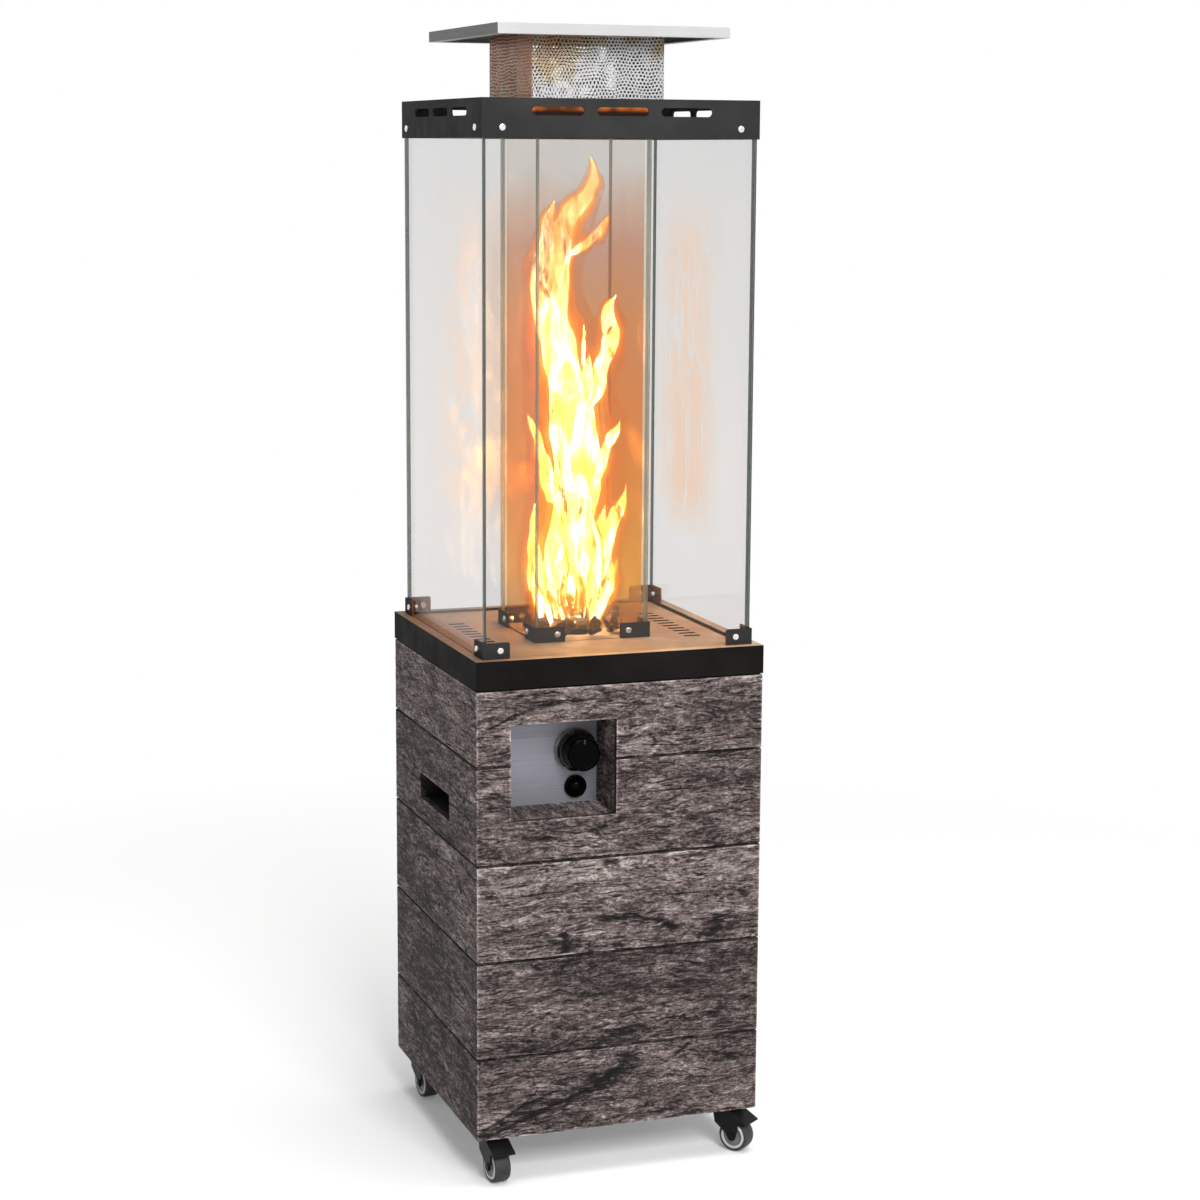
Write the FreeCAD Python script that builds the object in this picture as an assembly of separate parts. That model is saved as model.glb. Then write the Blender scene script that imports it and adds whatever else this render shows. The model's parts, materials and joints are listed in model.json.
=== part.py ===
import FreeCAD, Part
import math
import os

from FreeCAD import Vector

# A free-standing gas patio heater with a square glass lantern on a wood-clad cabinet, in millimetres.
# Z is up from the floor, the front faces -Y, and the vertical centre line of the cabinet is X = Y = 0.

# Heights of the stack, from the floor up
floor_clearance = 67.0
cladding_height = 636.0
shadow_gap = 2.0
deck_band_height = 40.0
lantern_height = 696.0
upper_band_height = 52.0
chimney_height = 83.0
top_plate_depth = 15.0

# Half widths of the cladding and the inner glass, and how far the parts round and above them step out or in
cladding_half = 209.0
deck_overhang = 1.0
lantern_inset = 13.0
inner_glass_half = 83.5
chimney_outset = 12.5
top_plate_overhang = 69.0

# Sheet, board and glass thicknesses
board = 9.0
tray_sheet = 2.0
tray_wall_sheet = 1.5
post_sheet = 1.5
deck_sheet = 1.5
deck_plate_sheet = 2.0
band_sheet = 2.5
chimney_sheet = 1.2
top_sheet = 1.5
panel_sheet = 1.5
cup_sheet = 1.2
bracket_sheet = 2.5
outer_pane = 5.0
inner_pane = 5.0
collar_sheet = 1.5

# Clearances
pane_clearance = 0.3
pane_edge_gap = 0.5
running_clearance = 0.05
side_clearance = 0.3
bolt_clearance = 0.2

# Plank pattern of the cladding, measured from its lower edge
bottom_plank = 117.0
full_plank = 138.0
seam_count = 4
seam_width = 2.5
seam_depth = 1.5

# Control recess in the front board, and the controls on its panel
recess_width = 153.0
recess_height = 135.0
recess_centre_x = -84.0
recess_below_top = 48.5
recess_depth = 84.0
liner_wall = 6.0
knob_from_wall = 32.5
knob_above_centre = 9.0
igniter_from_wall = 32.0
igniter_below_centre = 44.5

# Carrying slots in the side boards
slot_length = 150.0
slot_height = 38.0
slot_centre_height = 444.0
cup_depth = 30.0
cup_flange = 10.0

# Base tray and corner posts
tray_lip = 20.0
tray_vent_length = 70.0
tray_vent_width = 8.0
tray_vent_count = 3
tray_vent_pitch = 40.0
tray_port_radius = 22.0
post_leg = 25.0

# Deck
deck_recess = 3.0
support_width = 24.0
burner_hole_radius = 42.0
deck_slot_length = 26.0
deck_slot_width = 9.0
deck_slot_count = 10
deck_slot_pitch = 21.0
deck_slot_from_edge = 47.0

# Glass brackets and screws
outer_bracket_leg = 39.0
outer_bracket_height = 22.5
outer_screw_from_corner = 25.0
inner_bracket_leg = 45.0
inner_bracket_height = 22.0
inner_screw_from_corner = 33.0
bracket_corner_radius = 3.0
bracket_screw_height = 11.5
screw_radius = 2.5
screw_head_radius = 4.5
screw_head_top_radius = 3.2
screw_head_height = 2.6
nut_radius = 4.6
nut_height = 4.0
pane_hole_radius = 4.0
band_screw_from_corner = 28.0
band_screw_height = 13.5

# Upper band
outer_pane_in_band = 25.0
vent_length = 73.0
vent_width = 11.5
vent_count = 3
vent_pitch = 91.0
vent_below_top = 17.0
collar_height = 24.0
collar_flange = 10.0

# Chimney and top plate
chimney_flange = 24.0
top_return = 14.0
inner_pane_top_gap = 2.0

# Low-head fasteners of the top plate and the caster plates
low_head_radius = 4.0
low_head_height = 2.2
low_screw_radius = 2.0
low_screw_tail = 5.0
top_screw_from_edge = 12.0

# Rear door
door_from_side = 49.0
door_from_bottom = 60.0
door_from_top = 46.0
door_gap = 1.5
hinge_from_end = 90.0
hinge_length = 60.0
hinge_leaf_width = 24.0
hinge_leaf = 2.0
knuckle_radius = 3.5
hinge_pin_radius = 1.6
pull_from_edge = 22.0
pull_head_radius = 11.0
pull_stem_radius = 5.0
pull_length = 14.0
magnet_height = 30.0
magnet_width = 22.0
magnet_depth = 14.0
magnet_foot = 8.0
strike_width = 18.0
strike_sheet = 2.0

# Gas valve, spindle and knob
valve_width = 44.0
valve_height = 40.0
valve_depth = 36.0
valve_boss_radius = 12.0
valve_boss_length = 3.0
valve_port_radius = 8.0
valve_port_length = 12.0
hose_elbow = 16.0
hose_tail_radius = 5.0
hose_tail_length = 25.0
spindle_radius = 4.0
spindle_tail = 20.0
spindle_bore_depth = 26.0
spindle_in_knob = 22.0
panel_hole_radius = 6.0
knob_push = 4.0
knob_lift = 5.0
knob_ring_width = 3.6
knob_ring_depth = 3.0
knob_skirt_radius = 30.5
knob_skirt_depth = 4.0
knob_grip_radius = 25.0
knob_cap_radius = 23.5
knob_length = 35.5
knob_cavity_radius = 12.0
knob_cavity_depth = 5.0
knob_flute_count = 8
knob_flute_radius = 5.0
knob_flute_depth = 0.9
knob_notch_width = 4.0
knob_notch_depth = 2.0
knob_notch_length = 9.0
spindle_collar_radius = 9.0
spindle_collar_depth = 2.0

# Spark igniter
igniter_body_radius = 10.0
igniter_body_length = 55.0
igniter_bezel_radius = 16.0
igniter_bezel_depth = 6.5
igniter_bezel_floor = 1.0
igniter_nut_radius = 14.0
igniter_nut_depth = 4.0
button_push = 4.0
button_stem_radius = 6.0
button_stem_length = 14.0
button_cap_radius = 12.5
button_cap_depth = 5.0
button_dome_height = 6.0
button_bore_depth = 24.0

# Burner, its box under the deck, the pilot group and the gas pipes
burner_box_half = 56.0
burner_box_depth = 49.0
burner_box_sheet = 1.2
burner_box_flange = 10.0
burner_stem_radius = 9.0
burner_dome_radius = 24.0
burner_dome_height = 22.0
burner_above_deck = 16.0
burner_port_radius = 2.0
burner_port_count = 12
pilot_distance = 33.0
pilot_above_deck = 12.0
pilot_hood_radius = 5.0
pilot_probe_radius = 2.0
pilot_spark_radius = 1.6
pilot_spacing = 13.0
pipe_radius = 5.0
pipe_bend_radius = 18.0
pipe_rise = 40.0
tilt_switch_size = 26.0
tilt_switch_from_board = 65.0
tilt_switch_below_top = 96.0

# Lava rocks round the burner
rock_count = 9
rock_size = 25.0
rock_ring_radius = 60.0
rock_flatness = 0.8

# Casters: wheel, tyre, fork, king pin and brake pedal
wheel_radius = 23.0
wheel_width = 24.0
wheel_offset = 16.0
hub_radius = 18.5
hub_rim = 3.0
hub_dish = 2.5
hub_boss_radius = 6.0
axle_radius = 3.0
axle_head_radius = 5.0
axle_head = 1.5
wheel_side_clearance = 0.6
cheek = 2.2
caster_plate_half = 19.0
caster_plate_thickness = 2.5
caster_hole_half = 13.0
race_radius = 13.0
king_pin_radius = 5.0
king_pin_head_radius = 7.5
king_pin_head = 1.6
fork_crown = 2.5
fork_top_radius = 15.0
caster_inset = 31.0
pedal_pivot_x = 19.0
pedal_pivot_z = 52.5
pedal_pin_radius = 1.6
pedal_sheet = 2.2
pedal_skirt = 1.9
pedal_lip_x = 41.0
pedal_lip_z = 47.0
pedal_travel = 8.0
brake_gap = 0.3
brake_toe_radius = 1.5
brake_toe_angle = 58.0

# How each caster is swivelled at rest: the heading of its trailing side, in degrees from +X
caster_heading = {
    "front_left": 277.0,
    "front_right": 307.0,
    "back_left": 277.0,
    "back_right": 97.0,
}
caster_side = {
    "front_left": (-1, -1),
    "front_right": (1, -1),
    "back_left": (-1, 1),
    "back_right": (1, 1),
}

# Half widths, levels and faces that follow from the values above
deck_half = cladding_half + deck_overhang
upper_half = deck_half - lantern_inset
chimney_half = inner_glass_half + chimney_outset
top_plate_half = chimney_half + top_plate_overhang
door_half_width = cladding_half - door_from_side
cabinet_bottom = floor_clearance
cabinet_top = cabinet_bottom + cladding_height
door_bottom = cabinet_bottom + door_from_bottom
door_top = cabinet_top - door_from_top
deck_bottom = cabinet_top + shadow_gap
deck_top = deck_bottom + deck_band_height
plate_top = deck_top - deck_recess
plate_bottom = plate_top - deck_plate_sheet
support_bottom = plate_bottom - deck_sheet
upper_bottom = deck_top + lantern_height
upper_top = upper_bottom + upper_band_height
upper_deck_bottom = upper_top - band_sheet
top_plate_bottom = upper_top + chimney_height
heater_top = top_plate_bottom + top_plate_depth
board_inner = cladding_half - board
tray_half = board_inner - post_sheet
tray_floor = cabinet_bottom + tray_sheet
outer_glass_half = upper_half - bracket_sheet - pane_clearance
outer_glass_inner = outer_glass_half - outer_pane
inner_glass_inner = inner_glass_half - inner_pane
ledge_half = outer_glass_half + pane_clearance
inner_bracket_half = inner_glass_half + pane_clearance + bracket_sheet
outer_glass_top = upper_bottom + outer_pane_in_band
inner_glass_top = upper_deck_bottom - inner_pane_top_gap
recess_high = cabinet_top - recess_below_top
recess_low = recess_high - recess_height
recess_centre = (recess_low + recess_high) / 2
recess_left = recess_centre_x - recess_width / 2
recess_right = recess_left + recess_width
panel_front = -cladding_half + recess_depth
panel_back = panel_front + panel_sheet
knob_x = recess_right - knob_from_wall
knob_z = recess_centre + knob_above_centre
igniter_x = recess_right - igniter_from_wall
igniter_z = recess_centre - igniter_below_centre
slot_z = cabinet_bottom + slot_centre_height
burner_box_floor = plate_bottom - burner_box_depth
valve_middle_y = panel_back + valve_boss_length + valve_depth / 2
hose_x = knob_x - valve_width / 2 - valve_port_length - hose_elbow / 2
caster_plate_bottom = cabinet_bottom - caster_plate_thickness
fork_top = caster_plate_bottom - low_head_height - side_clearance
fork_crown_bottom = fork_top - fork_crown
fork_inner = wheel_width / 2 + wheel_side_clearance
fork_outer = fork_inner + cheek
caster_place = cladding_half - caster_inset
hinge_x = -(door_half_width + door_gap / 2)
hinge_y = cladding_half + knuckle_radius + side_clearance

X = Vector(1, 0, 0)
Y = Vector(0, 1, 0)
Z = Vector(0, 0, 1)
CENTRE = Vector(0, 0, 0)


def block(x0, x1, y0, y1, z0, z1):
    return Part.makeBox(x1 - x0, y1 - y0, z1 - z0, Vector(x0, y0, z0))


def square_block(half, z0, z1):
    return block(-half, half, -half, half, z0, z1)


def square_ring(outer, inner, z0, z1):
    return square_block(outer, z0, z1).cut(square_block(inner, z0, z1))


def rod(radius, start, direction, length):
    return Part.makeCylinder(radius, length, start, direction)


def prism(points, extrusion):
    outline = Part.makePolygon(points + [points[0]])
    return Part.Face(outline).extrude(extrusion)


def side_prism(points, half_width):
    """A profile in the XZ plane, as wide as twice half_width along Y."""
    corners = [Vector(x, -half_width, z) for x, z in points]
    return prism(corners, Y * (2 * half_width))


def turned(points, base, axis):
    """A solid of revolution: points are (radius, distance along the axis from base)."""
    side = Z if abs(axis.z) < 0.5 else X
    corners = [base + side * radius + axis * along for radius, along in points]
    outline = Part.makePolygon(corners + [corners[0]])
    return Part.Face(outline).revolve(base, axis, 360)


def rounded_slot(length, width, depth):
    """A slot with round ends along X, centred, running from Y = 0 to Y = depth."""
    straight = length / 2 - width / 2
    ends = [rod(width / 2, Vector(sign * straight, 0, 0), Y, depth) for sign in (-1, 1)]
    return block(-straight, straight, 0, depth, -width / 2, width / 2).fuse(ends).removeSplitter()


def moved(shape, offset):
    copy = shape.copy()
    copy.translate(offset)
    return copy


def spun(shape, degrees):
    copy = shape.copy()
    copy.rotate(CENTRE, Z, degrees)
    return copy


def on_four_sides(shape):
    return [spun(shape, 90 * side) for side in range(4)]


def joined(shapes):
    return shapes[0].fuse(shapes[1:]).removeSplitter()


def rounded_at(shape, radius, point):
    """The shape with the one edge whose middle lies at point rounded."""
    edge = min(shape.Edges, key=lambda e: e.CenterOfMass.distanceToPoint(point))
    return shape.makeFillet(radius, [edge])


def save(name, *solids):
    for solid in solids:
        if not solid.isValid() or solid.Volume <= 0:
            print("not a sound solid:", name)
    shape = solids[0] if len(solids) == 1 else Part.makeCompound(list(solids))
    shape.exportStep("parts/" + name + ".step")


def cladding_board():
    """The front board: mitred at both ends, with plank seams cut across its face."""
    corners = [
        Vector(-cladding_half, -cladding_half, cabinet_bottom),
        Vector(cladding_half, -cladding_half, cabinet_bottom),
        Vector(board_inner, -board_inner, cabinet_bottom),
        Vector(-board_inner, -board_inner, cabinet_bottom),
    ]
    face_y = -cladding_half
    blank = prism(corners, Z * cladding_height)
    seams = []
    for index in range(seam_count):
        middle = cabinet_bottom + bottom_plank + index * full_plank
        low, high = middle - seam_width / 2, middle + seam_width / 2
        seams.append(block(-cladding_half, cladding_half, face_y, face_y + seam_depth, low, high))
    return blank.cut(seams)


def door_opening(gap):
    return block(
        -door_half_width - gap,
        door_half_width + gap,
        board_inner,
        cladding_half,
        door_bottom - gap,
        door_top + gap,
    )


def cladding():
    front_board = cladding_board()
    recess = block(recess_left, recess_right, -cladding_half, -board_inner, recess_low, recess_high)
    slot = block(
        -slot_length / 2,
        slot_length / 2,
        -cladding_half,
        -board_inner,
        slot_z - slot_height / 2,
        slot_z + slot_height / 2,
    )
    save("cladding_front", front_board.cut(recess))
    side_board = front_board.cut(slot)
    save("cladding_left", spun(side_board, -90))
    save("cladding_right", spun(side_board, 90))
    back_board = spun(front_board, 180)
    save("cladding_back", back_board.cut(door_opening(door_gap)))
    save("rear_door", back_board.common(door_opening(0)))


def hand_cups():
    """Folded cups that line the carrying slots."""
    deep = -board_inner + cup_depth
    half, tall = slot_length / 2, slot_height / 2
    flange_half, flange_tall = half + cup_flange, tall + cup_flange
    shell = block(
        -half - cup_sheet, half + cup_sheet, -board_inner, deep, slot_z - tall - cup_sheet, slot_z + tall + cup_sheet
    )
    flange = block(
        -flange_half,
        flange_half,
        -board_inner,
        -board_inner + cup_sheet,
        slot_z - flange_tall,
        slot_z + flange_tall,
    )
    hollow = block(-half, half, -board_inner, deep - cup_sheet, slot_z - tall, slot_z + tall)
    cup = joined([shell, flange]).cut(hollow)
    save("hand_cups", spun(cup, -90), spun(cup, 90))


def control_recess():
    """Wooden walls of the recess, and the sheet panel that closes its back."""
    left, right = recess_left - liner_wall, recess_right + liner_wall
    low, high = recess_low - liner_wall, recess_high + liner_wall
    outside = block(left, right, -board_inner, panel_front, low, high)
    inside = block(recess_left, recess_right, -board_inner, panel_front, recess_low, recess_high)
    save("recess_liner", outside.cut(inside))
    panel = block(left, right, panel_front, panel_back, low, high)
    spindle_hole = rod(panel_hole_radius, Vector(knob_x, panel_front, knob_z), Y, panel_sheet)
    igniter_hole = rod(
        igniter_body_radius + bolt_clearance, Vector(igniter_x, panel_front, igniter_z), Y, panel_sheet
    )
    save("control_panel", panel.cut([spindle_hole, igniter_hole]))


def caster_centre(corner):
    side_x, side_y = caster_side[corner]
    return Vector(side_x * caster_place, side_y * caster_place, 0)


def plate_hole_offsets():
    return [Vector(x * caster_hole_half, y * caster_hole_half, 0) for x in (-1, 1) for y in (-1, 1)]


def base_tray():
    """The floor of the cabinet, with a row of slots and a port for a gas hose near each corner of the bottle."""
    floor = square_block(tray_half, cabinet_bottom, tray_floor)
    lip = square_ring(tray_half, tray_half - tray_wall_sheet, cabinet_bottom, cabinet_bottom + tray_lip)
    cuts = []
    vent = rounded_slot(tray_vent_length, tray_vent_width, tray_sheet)
    vent.rotate(CENTRE, X, 90)
    first = -(tray_vent_count - 1) / 2
    for index in range(tray_vent_count):
        cuts.append(moved(vent, Vector(0, (first + index) * tray_vent_pitch, cabinet_bottom)))
    for side_x, side_y in caster_side.values():
        place = Vector(side_x * hose_x, side_y * valve_middle_y, cabinet_bottom)
        cuts.append(rod(tray_port_radius, place, Z, tray_sheet))
    for corner in caster_side:
        for offset in plate_hole_offsets():
            place = caster_centre(corner) + offset + Z * cabinet_bottom
            cuts.append(rod(low_screw_radius + bolt_clearance, place, Z, tray_sheet))
    save("base_tray", joined([floor, lip]).cut(cuts))


def corner_posts():
    height = support_bottom - cabinet_bottom
    outside = Part.makeBox(post_leg, post_leg, height)
    inside = Part.makeBox(post_leg, post_leg, height, Vector(post_sheet, post_sheet, 0))
    post = moved(outside.cut(inside), Vector(-board_inner, -board_inner, cabinet_bottom))
    save("corner_posts", *on_four_sides(post))


def deck():
    """The black band round the deck with its ledge and support ring, and the plate that lies in it."""
    wall = square_ring(deck_half, deck_half - deck_sheet, deck_bottom, deck_top)
    ledge = square_ring(deck_half, ledge_half, deck_top - deck_sheet, deck_top)
    support = square_ring(
        deck_half - deck_sheet, deck_half - deck_sheet - support_width, support_bottom, plate_bottom
    )
    save("deck_frame", joined([wall, ledge, support]))
    plate = square_block(ledge_half - bolt_clearance, plate_bottom, plate_top)
    cuts = [rod(burner_hole_radius, Vector(0, 0, plate_bottom), Z, deck_plate_sheet)]
    slot = rounded_slot(deck_slot_length, deck_slot_width, deck_plate_sheet)
    slot.rotate(CENTRE, X, 90)
    first = -(deck_slot_count - 1) / 2
    for side in (-1, 1):
        for index in range(deck_slot_count):
            across = side * (ledge_half - deck_slot_from_edge)
            place = Vector(across, (first + index) * deck_slot_pitch, plate_bottom)
            cuts.append(moved(slot, place))
    save("deck_plate", plate.cut(cuts))


def glass_bracket(half, leg, height, bottom, from_corner):
    """An angle at the front left corner, with one screw hole in each leg."""
    inner = half - bracket_sheet
    leg_end = -half + leg
    along_x = block(-half, leg_end, -half, -inner, bottom, bottom + height)
    along_x = rounded_at(along_x, bracket_corner_radius, Vector(leg_end, -half + bracket_sheet / 2, bottom + height))
    along_y = block(-half, -inner, -half, leg_end, bottom, bottom + height)
    along_y = rounded_at(along_y, bracket_corner_radius, Vector(-half + bracket_sheet / 2, leg_end, bottom + height))
    hole_z = bottom + bracket_screw_height
    hole_radius = screw_radius + bolt_clearance
    hole_x = rod(hole_radius, Vector(-half + from_corner, -half, hole_z), Y, bracket_sheet)
    hole_y = rod(hole_radius, Vector(-half, -half + from_corner, hole_z), X, bracket_sheet)
    return joined([along_x, along_y]).cut([hole_x, hole_y])


def glass_brackets():
    outer = glass_bracket(
        upper_half, outer_bracket_leg, outer_bracket_height, deck_top, outer_screw_from_corner
    )
    save("outer_brackets", *on_four_sides(outer))
    inner = glass_bracket(
        inner_bracket_half, inner_bracket_leg, inner_bracket_height, plate_top, inner_screw_from_corner
    )
    save("inner_brackets", *on_four_sides(inner))


def pane_holes(half, from_corner, level, depth):
    """Clearance holes through a pane that faces -Y, one near each end."""
    spots = [Vector(sign * (half - from_corner), -half, level) for sign in (-1, 1)]
    return [rod(pane_hole_radius, spot, Y, depth) for spot in spots]


def outer_glass():
    low, high = plate_top, outer_glass_top
    reach = upper_half - outer_glass_half + outer_pane
    holes = pane_holes(upper_half, outer_screw_from_corner, deck_top + bracket_screw_height, reach)
    holes += pane_holes(upper_half, band_screw_from_corner, upper_bottom + band_screw_height, reach)
    side_half = outer_glass_inner - pane_edge_gap
    wide = block(-outer_glass_half, outer_glass_half, -outer_glass_half, -outer_glass_inner, low, high).cut(holes)
    narrow = block(-side_half, side_half, -outer_glass_half, -outer_glass_inner, low, high).cut(holes)
    save("outer_glass_front", wide)
    save("outer_glass_back", spun(wide, 180))
    save("outer_glass_left", spun(narrow, -90))
    save("outer_glass_right", spun(narrow, 90))


def inner_glass():
    low, high = plate_top, inner_glass_top
    reach = inner_bracket_half - inner_glass_inner
    holes = pane_holes(inner_bracket_half, inner_screw_from_corner, plate_top + bracket_screw_height, reach)
    side_half = inner_glass_inner - pane_edge_gap
    wide = block(-inner_glass_half, inner_glass_half, -inner_glass_half, -inner_glass_inner, low, high).cut(holes)
    narrow = block(-side_half, side_half, -inner_glass_half, -inner_glass_inner, low, high).cut(holes)
    save("inner_glass_front", wide)
    save("inner_glass_back", spun(wide, 180))
    save("inner_glass_left", spun(narrow, -90))
    save("inner_glass_right", spun(narrow, 90))


def glass_screw(x, face, inner_face, level):
    """A screw that faces -Y: head on the face, shank through the pane and a hexagon nut behind it."""
    head = Part.makeCone(
        screw_head_radius, screw_head_top_radius, screw_head_height, Vector(x, -face, level), -Y
    )
    shank = rod(screw_radius, Vector(x, -face, level), Y, face - inner_face + nut_height)
    corners = []
    for index in range(6):
        turn = math.radians(60 * index)
        offset = Vector(nut_radius * math.cos(turn), 0, nut_radius * math.sin(turn))
        corners.append(Vector(x, -inner_face, level) + offset)
    return joined([head, shank, prism(corners, Y * nut_height)])


def glass_screws():
    rows = [
        (upper_half, outer_glass_inner, outer_screw_from_corner, deck_top + bracket_screw_height),
        (upper_half, outer_glass_inner, band_screw_from_corner, upper_bottom + band_screw_height),
        (inner_bracket_half, inner_glass_inner, inner_screw_from_corner, plate_top + bracket_screw_height),
    ]
    solids = []
    for face, inner_face, from_corner, level in rows:
        for side in (-1, 1):
            solids += on_four_sides(glass_screw(side * (face - from_corner), face, inner_face, level))
    save("glass_screws", *solids)


def upper_frame():
    """The slotted band that holds the panes, its top deck and the collar of the inner panes."""
    ring = square_ring(upper_half, upper_half - band_sheet, upper_bottom, upper_top)
    slot = rounded_slot(vent_length, vent_width, band_sheet)
    first = -(vent_count - 1) / 2
    cuts = []
    for index in range(vent_count):
        place = Vector((first + index) * vent_pitch, -upper_half, upper_top - vent_below_top)
        cuts += on_four_sides(moved(slot, place))
    for sign in (-1, 1):
        place = Vector(
            sign * (upper_half - band_screw_from_corner), -upper_half, upper_bottom + band_screw_height
        )
        cuts += on_four_sides(rod(screw_radius + bolt_clearance, place, Y, band_sheet))
    save("upper_band", ring.cut(cuts))
    save("upper_deck", square_ring(upper_half - band_sheet, inner_glass_inner, upper_deck_bottom, upper_top))
    inner = inner_glass_half + pane_clearance
    skirt = square_ring(inner + collar_sheet, inner, upper_deck_bottom - collar_height, upper_deck_bottom)
    flange = square_ring(
        inner + collar_sheet + collar_flange, inner, upper_deck_bottom - collar_sheet, upper_deck_bottom
    )
    save("inner_collar", joined([skirt, flange]))


def top_screw_places():
    distance = chimney_half - chimney_sheet - top_screw_from_edge
    level = heater_top - top_sheet - chimney_sheet
    return [Vector(x * distance, y * distance, level) for x, y in ((1, 0), (0, 1), (-1, 0), (0, -1))]


def chimney():
    """The square screen on the upper deck and the folded plate over it."""
    screen_top = heater_top - top_sheet
    wall = square_ring(chimney_half, chimney_half - chimney_sheet, upper_top, screen_top)
    top_flange = square_ring(
        chimney_half, chimney_half - chimney_flange, screen_top - chimney_sheet, screen_top
    )
    foot_flange = square_ring(
        chimney_half, inner_glass_inner, upper_top, upper_top + chimney_sheet
    )
    hole_radius = low_screw_radius + bolt_clearance
    holes = [rod(hole_radius, place, Z, chimney_sheet) for place in top_screw_places()]
    save("chimney_screen", joined([wall, top_flange, foot_flange]).cut(holes))
    plate = square_block(top_plate_half, top_plate_bottom, heater_top)
    hollow = square_block(top_plate_half - top_sheet, top_plate_bottom + top_sheet, screen_top)
    mouth = square_block(top_plate_half - top_return, top_plate_bottom, top_plate_bottom + top_sheet)
    save("top_plate", plate.cut([hollow, mouth]))


def low_screw(face, length):
    """A low-head screw that goes up into the face from below."""
    head = rod(low_head_radius, face, -Z, low_head_height)
    shank = rod(low_screw_radius, face, Z, length)
    return joined([head, shank])


def sheet_screws():
    """The nuts and studs under the top plate, and the screws of the caster plates."""
    solids = [low_screw(place, chimney_sheet) for place in top_screw_places()]
    caster_screw = caster_plate_thickness + tray_sheet + low_screw_tail
    for corner in caster_side:
        for offset in plate_hole_offsets():
            face = caster_centre(corner) + offset + Z * caster_plate_bottom
            solids.append(low_screw(face, caster_screw))
    save("sheet_screws", *solids)


def hinge_levels():
    low = door_bottom + hinge_from_end
    high = door_top - hinge_from_end
    return [low - hinge_length / 2, high - hinge_length / 2]


def hinge_leaf_pair(bottom):
    """A butt hinge: the fixed leaf carries the outer knuckles and the pin, the door leaf the middle one."""
    third = hinge_length / 3
    axis_low = Vector(hinge_x, hinge_y, bottom)
    outer_height = third - side_clearance / 2
    middle_low = third + side_clearance / 2
    middle_height = third - side_clearance
    face, leaf_top = cladding_half, cladding_half + hinge_leaf
    leaf_end = knuckle_radius + side_clearance
    fixed_plate = block(hinge_x - hinge_leaf_width, hinge_x, face, leaf_top, bottom, bottom + hinge_length)
    door_plate = block(hinge_x, hinge_x + hinge_leaf_width, face, leaf_top, bottom, bottom + hinge_length)
    outer_lows = (0, 2 * third + side_clearance / 2)
    fixed_knuckles = [rod(knuckle_radius, axis_low + Z * low, Z, outer_height) for low in outer_lows]
    door_knuckle = rod(knuckle_radius, axis_low + Z * middle_low, Z, middle_height)
    fixed_room = rod(leaf_end, axis_low + Z * (middle_low - side_clearance), Z, middle_height + 2 * side_clearance)
    door_room = [
        rod(leaf_end, axis_low, Z, outer_height + side_clearance),
        rod(leaf_end, axis_low + Z * (2 * third - side_clearance / 2), Z, outer_height + side_clearance),
    ]
    pin = rod(hinge_pin_radius, axis_low, Z, hinge_length)
    pin_hole = rod(hinge_pin_radius + running_clearance, axis_low, Z, hinge_length)
    fixed_web = block(
        hinge_x - knuckle_radius, hinge_x, face, hinge_y, bottom, bottom + hinge_length
    )
    door_web = block(hinge_x, hinge_x + knuckle_radius, face, hinge_y, bottom, bottom + hinge_length)
    fixed = joined([fixed_plate, fixed_web]).cut(fixed_room)
    fixed = joined([fixed] + fixed_knuckles + [pin])
    door = joined([door_plate, door_web]).cut(door_room)
    door = joined([door, door_knuckle]).cut(pin_hole)
    return fixed, door


def door_fittings():
    pairs = [hinge_leaf_pair(bottom) for bottom in hinge_levels()]
    save("hinge_fixed_leaves", *[pair[0] for pair in pairs])
    save("hinge_door_leaves", *[pair[1] for pair in pairs])
    middle = (door_bottom + door_top) / 2
    head = pull_length / 2
    pull = [
        (0, 0),
        (pull_stem_radius, 0),
        (pull_stem_radius, pull_length - head),
        (pull_head_radius - 1, pull_length - head),
        (pull_head_radius, pull_length - head / 2),
        (pull_head_radius - 2, pull_length),
        (0, pull_length),
    ]
    place = Vector(door_half_width - pull_from_edge, cladding_half, middle)
    save("door_pull", turned(pull, place, Y))
    strike_end = door_half_width - door_gap
    low, high = middle - magnet_height / 2, middle + magnet_height / 2
    strike_face = board_inner - strike_sheet
    save("door_strike", block(strike_end - strike_width, strike_end, strike_face, board_inner, low, high))
    foot_start = door_half_width + 2 * door_gap
    magnet_end = foot_start + magnet_foot
    magnet_front = strike_face - side_clearance
    body = block(magnet_end - magnet_width, magnet_end, magnet_front - magnet_depth, magnet_front, low, high)
    foot = block(foot_start, magnet_end, magnet_front, board_inner, low, high)
    save("door_magnet", joined([body, foot]))


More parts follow.
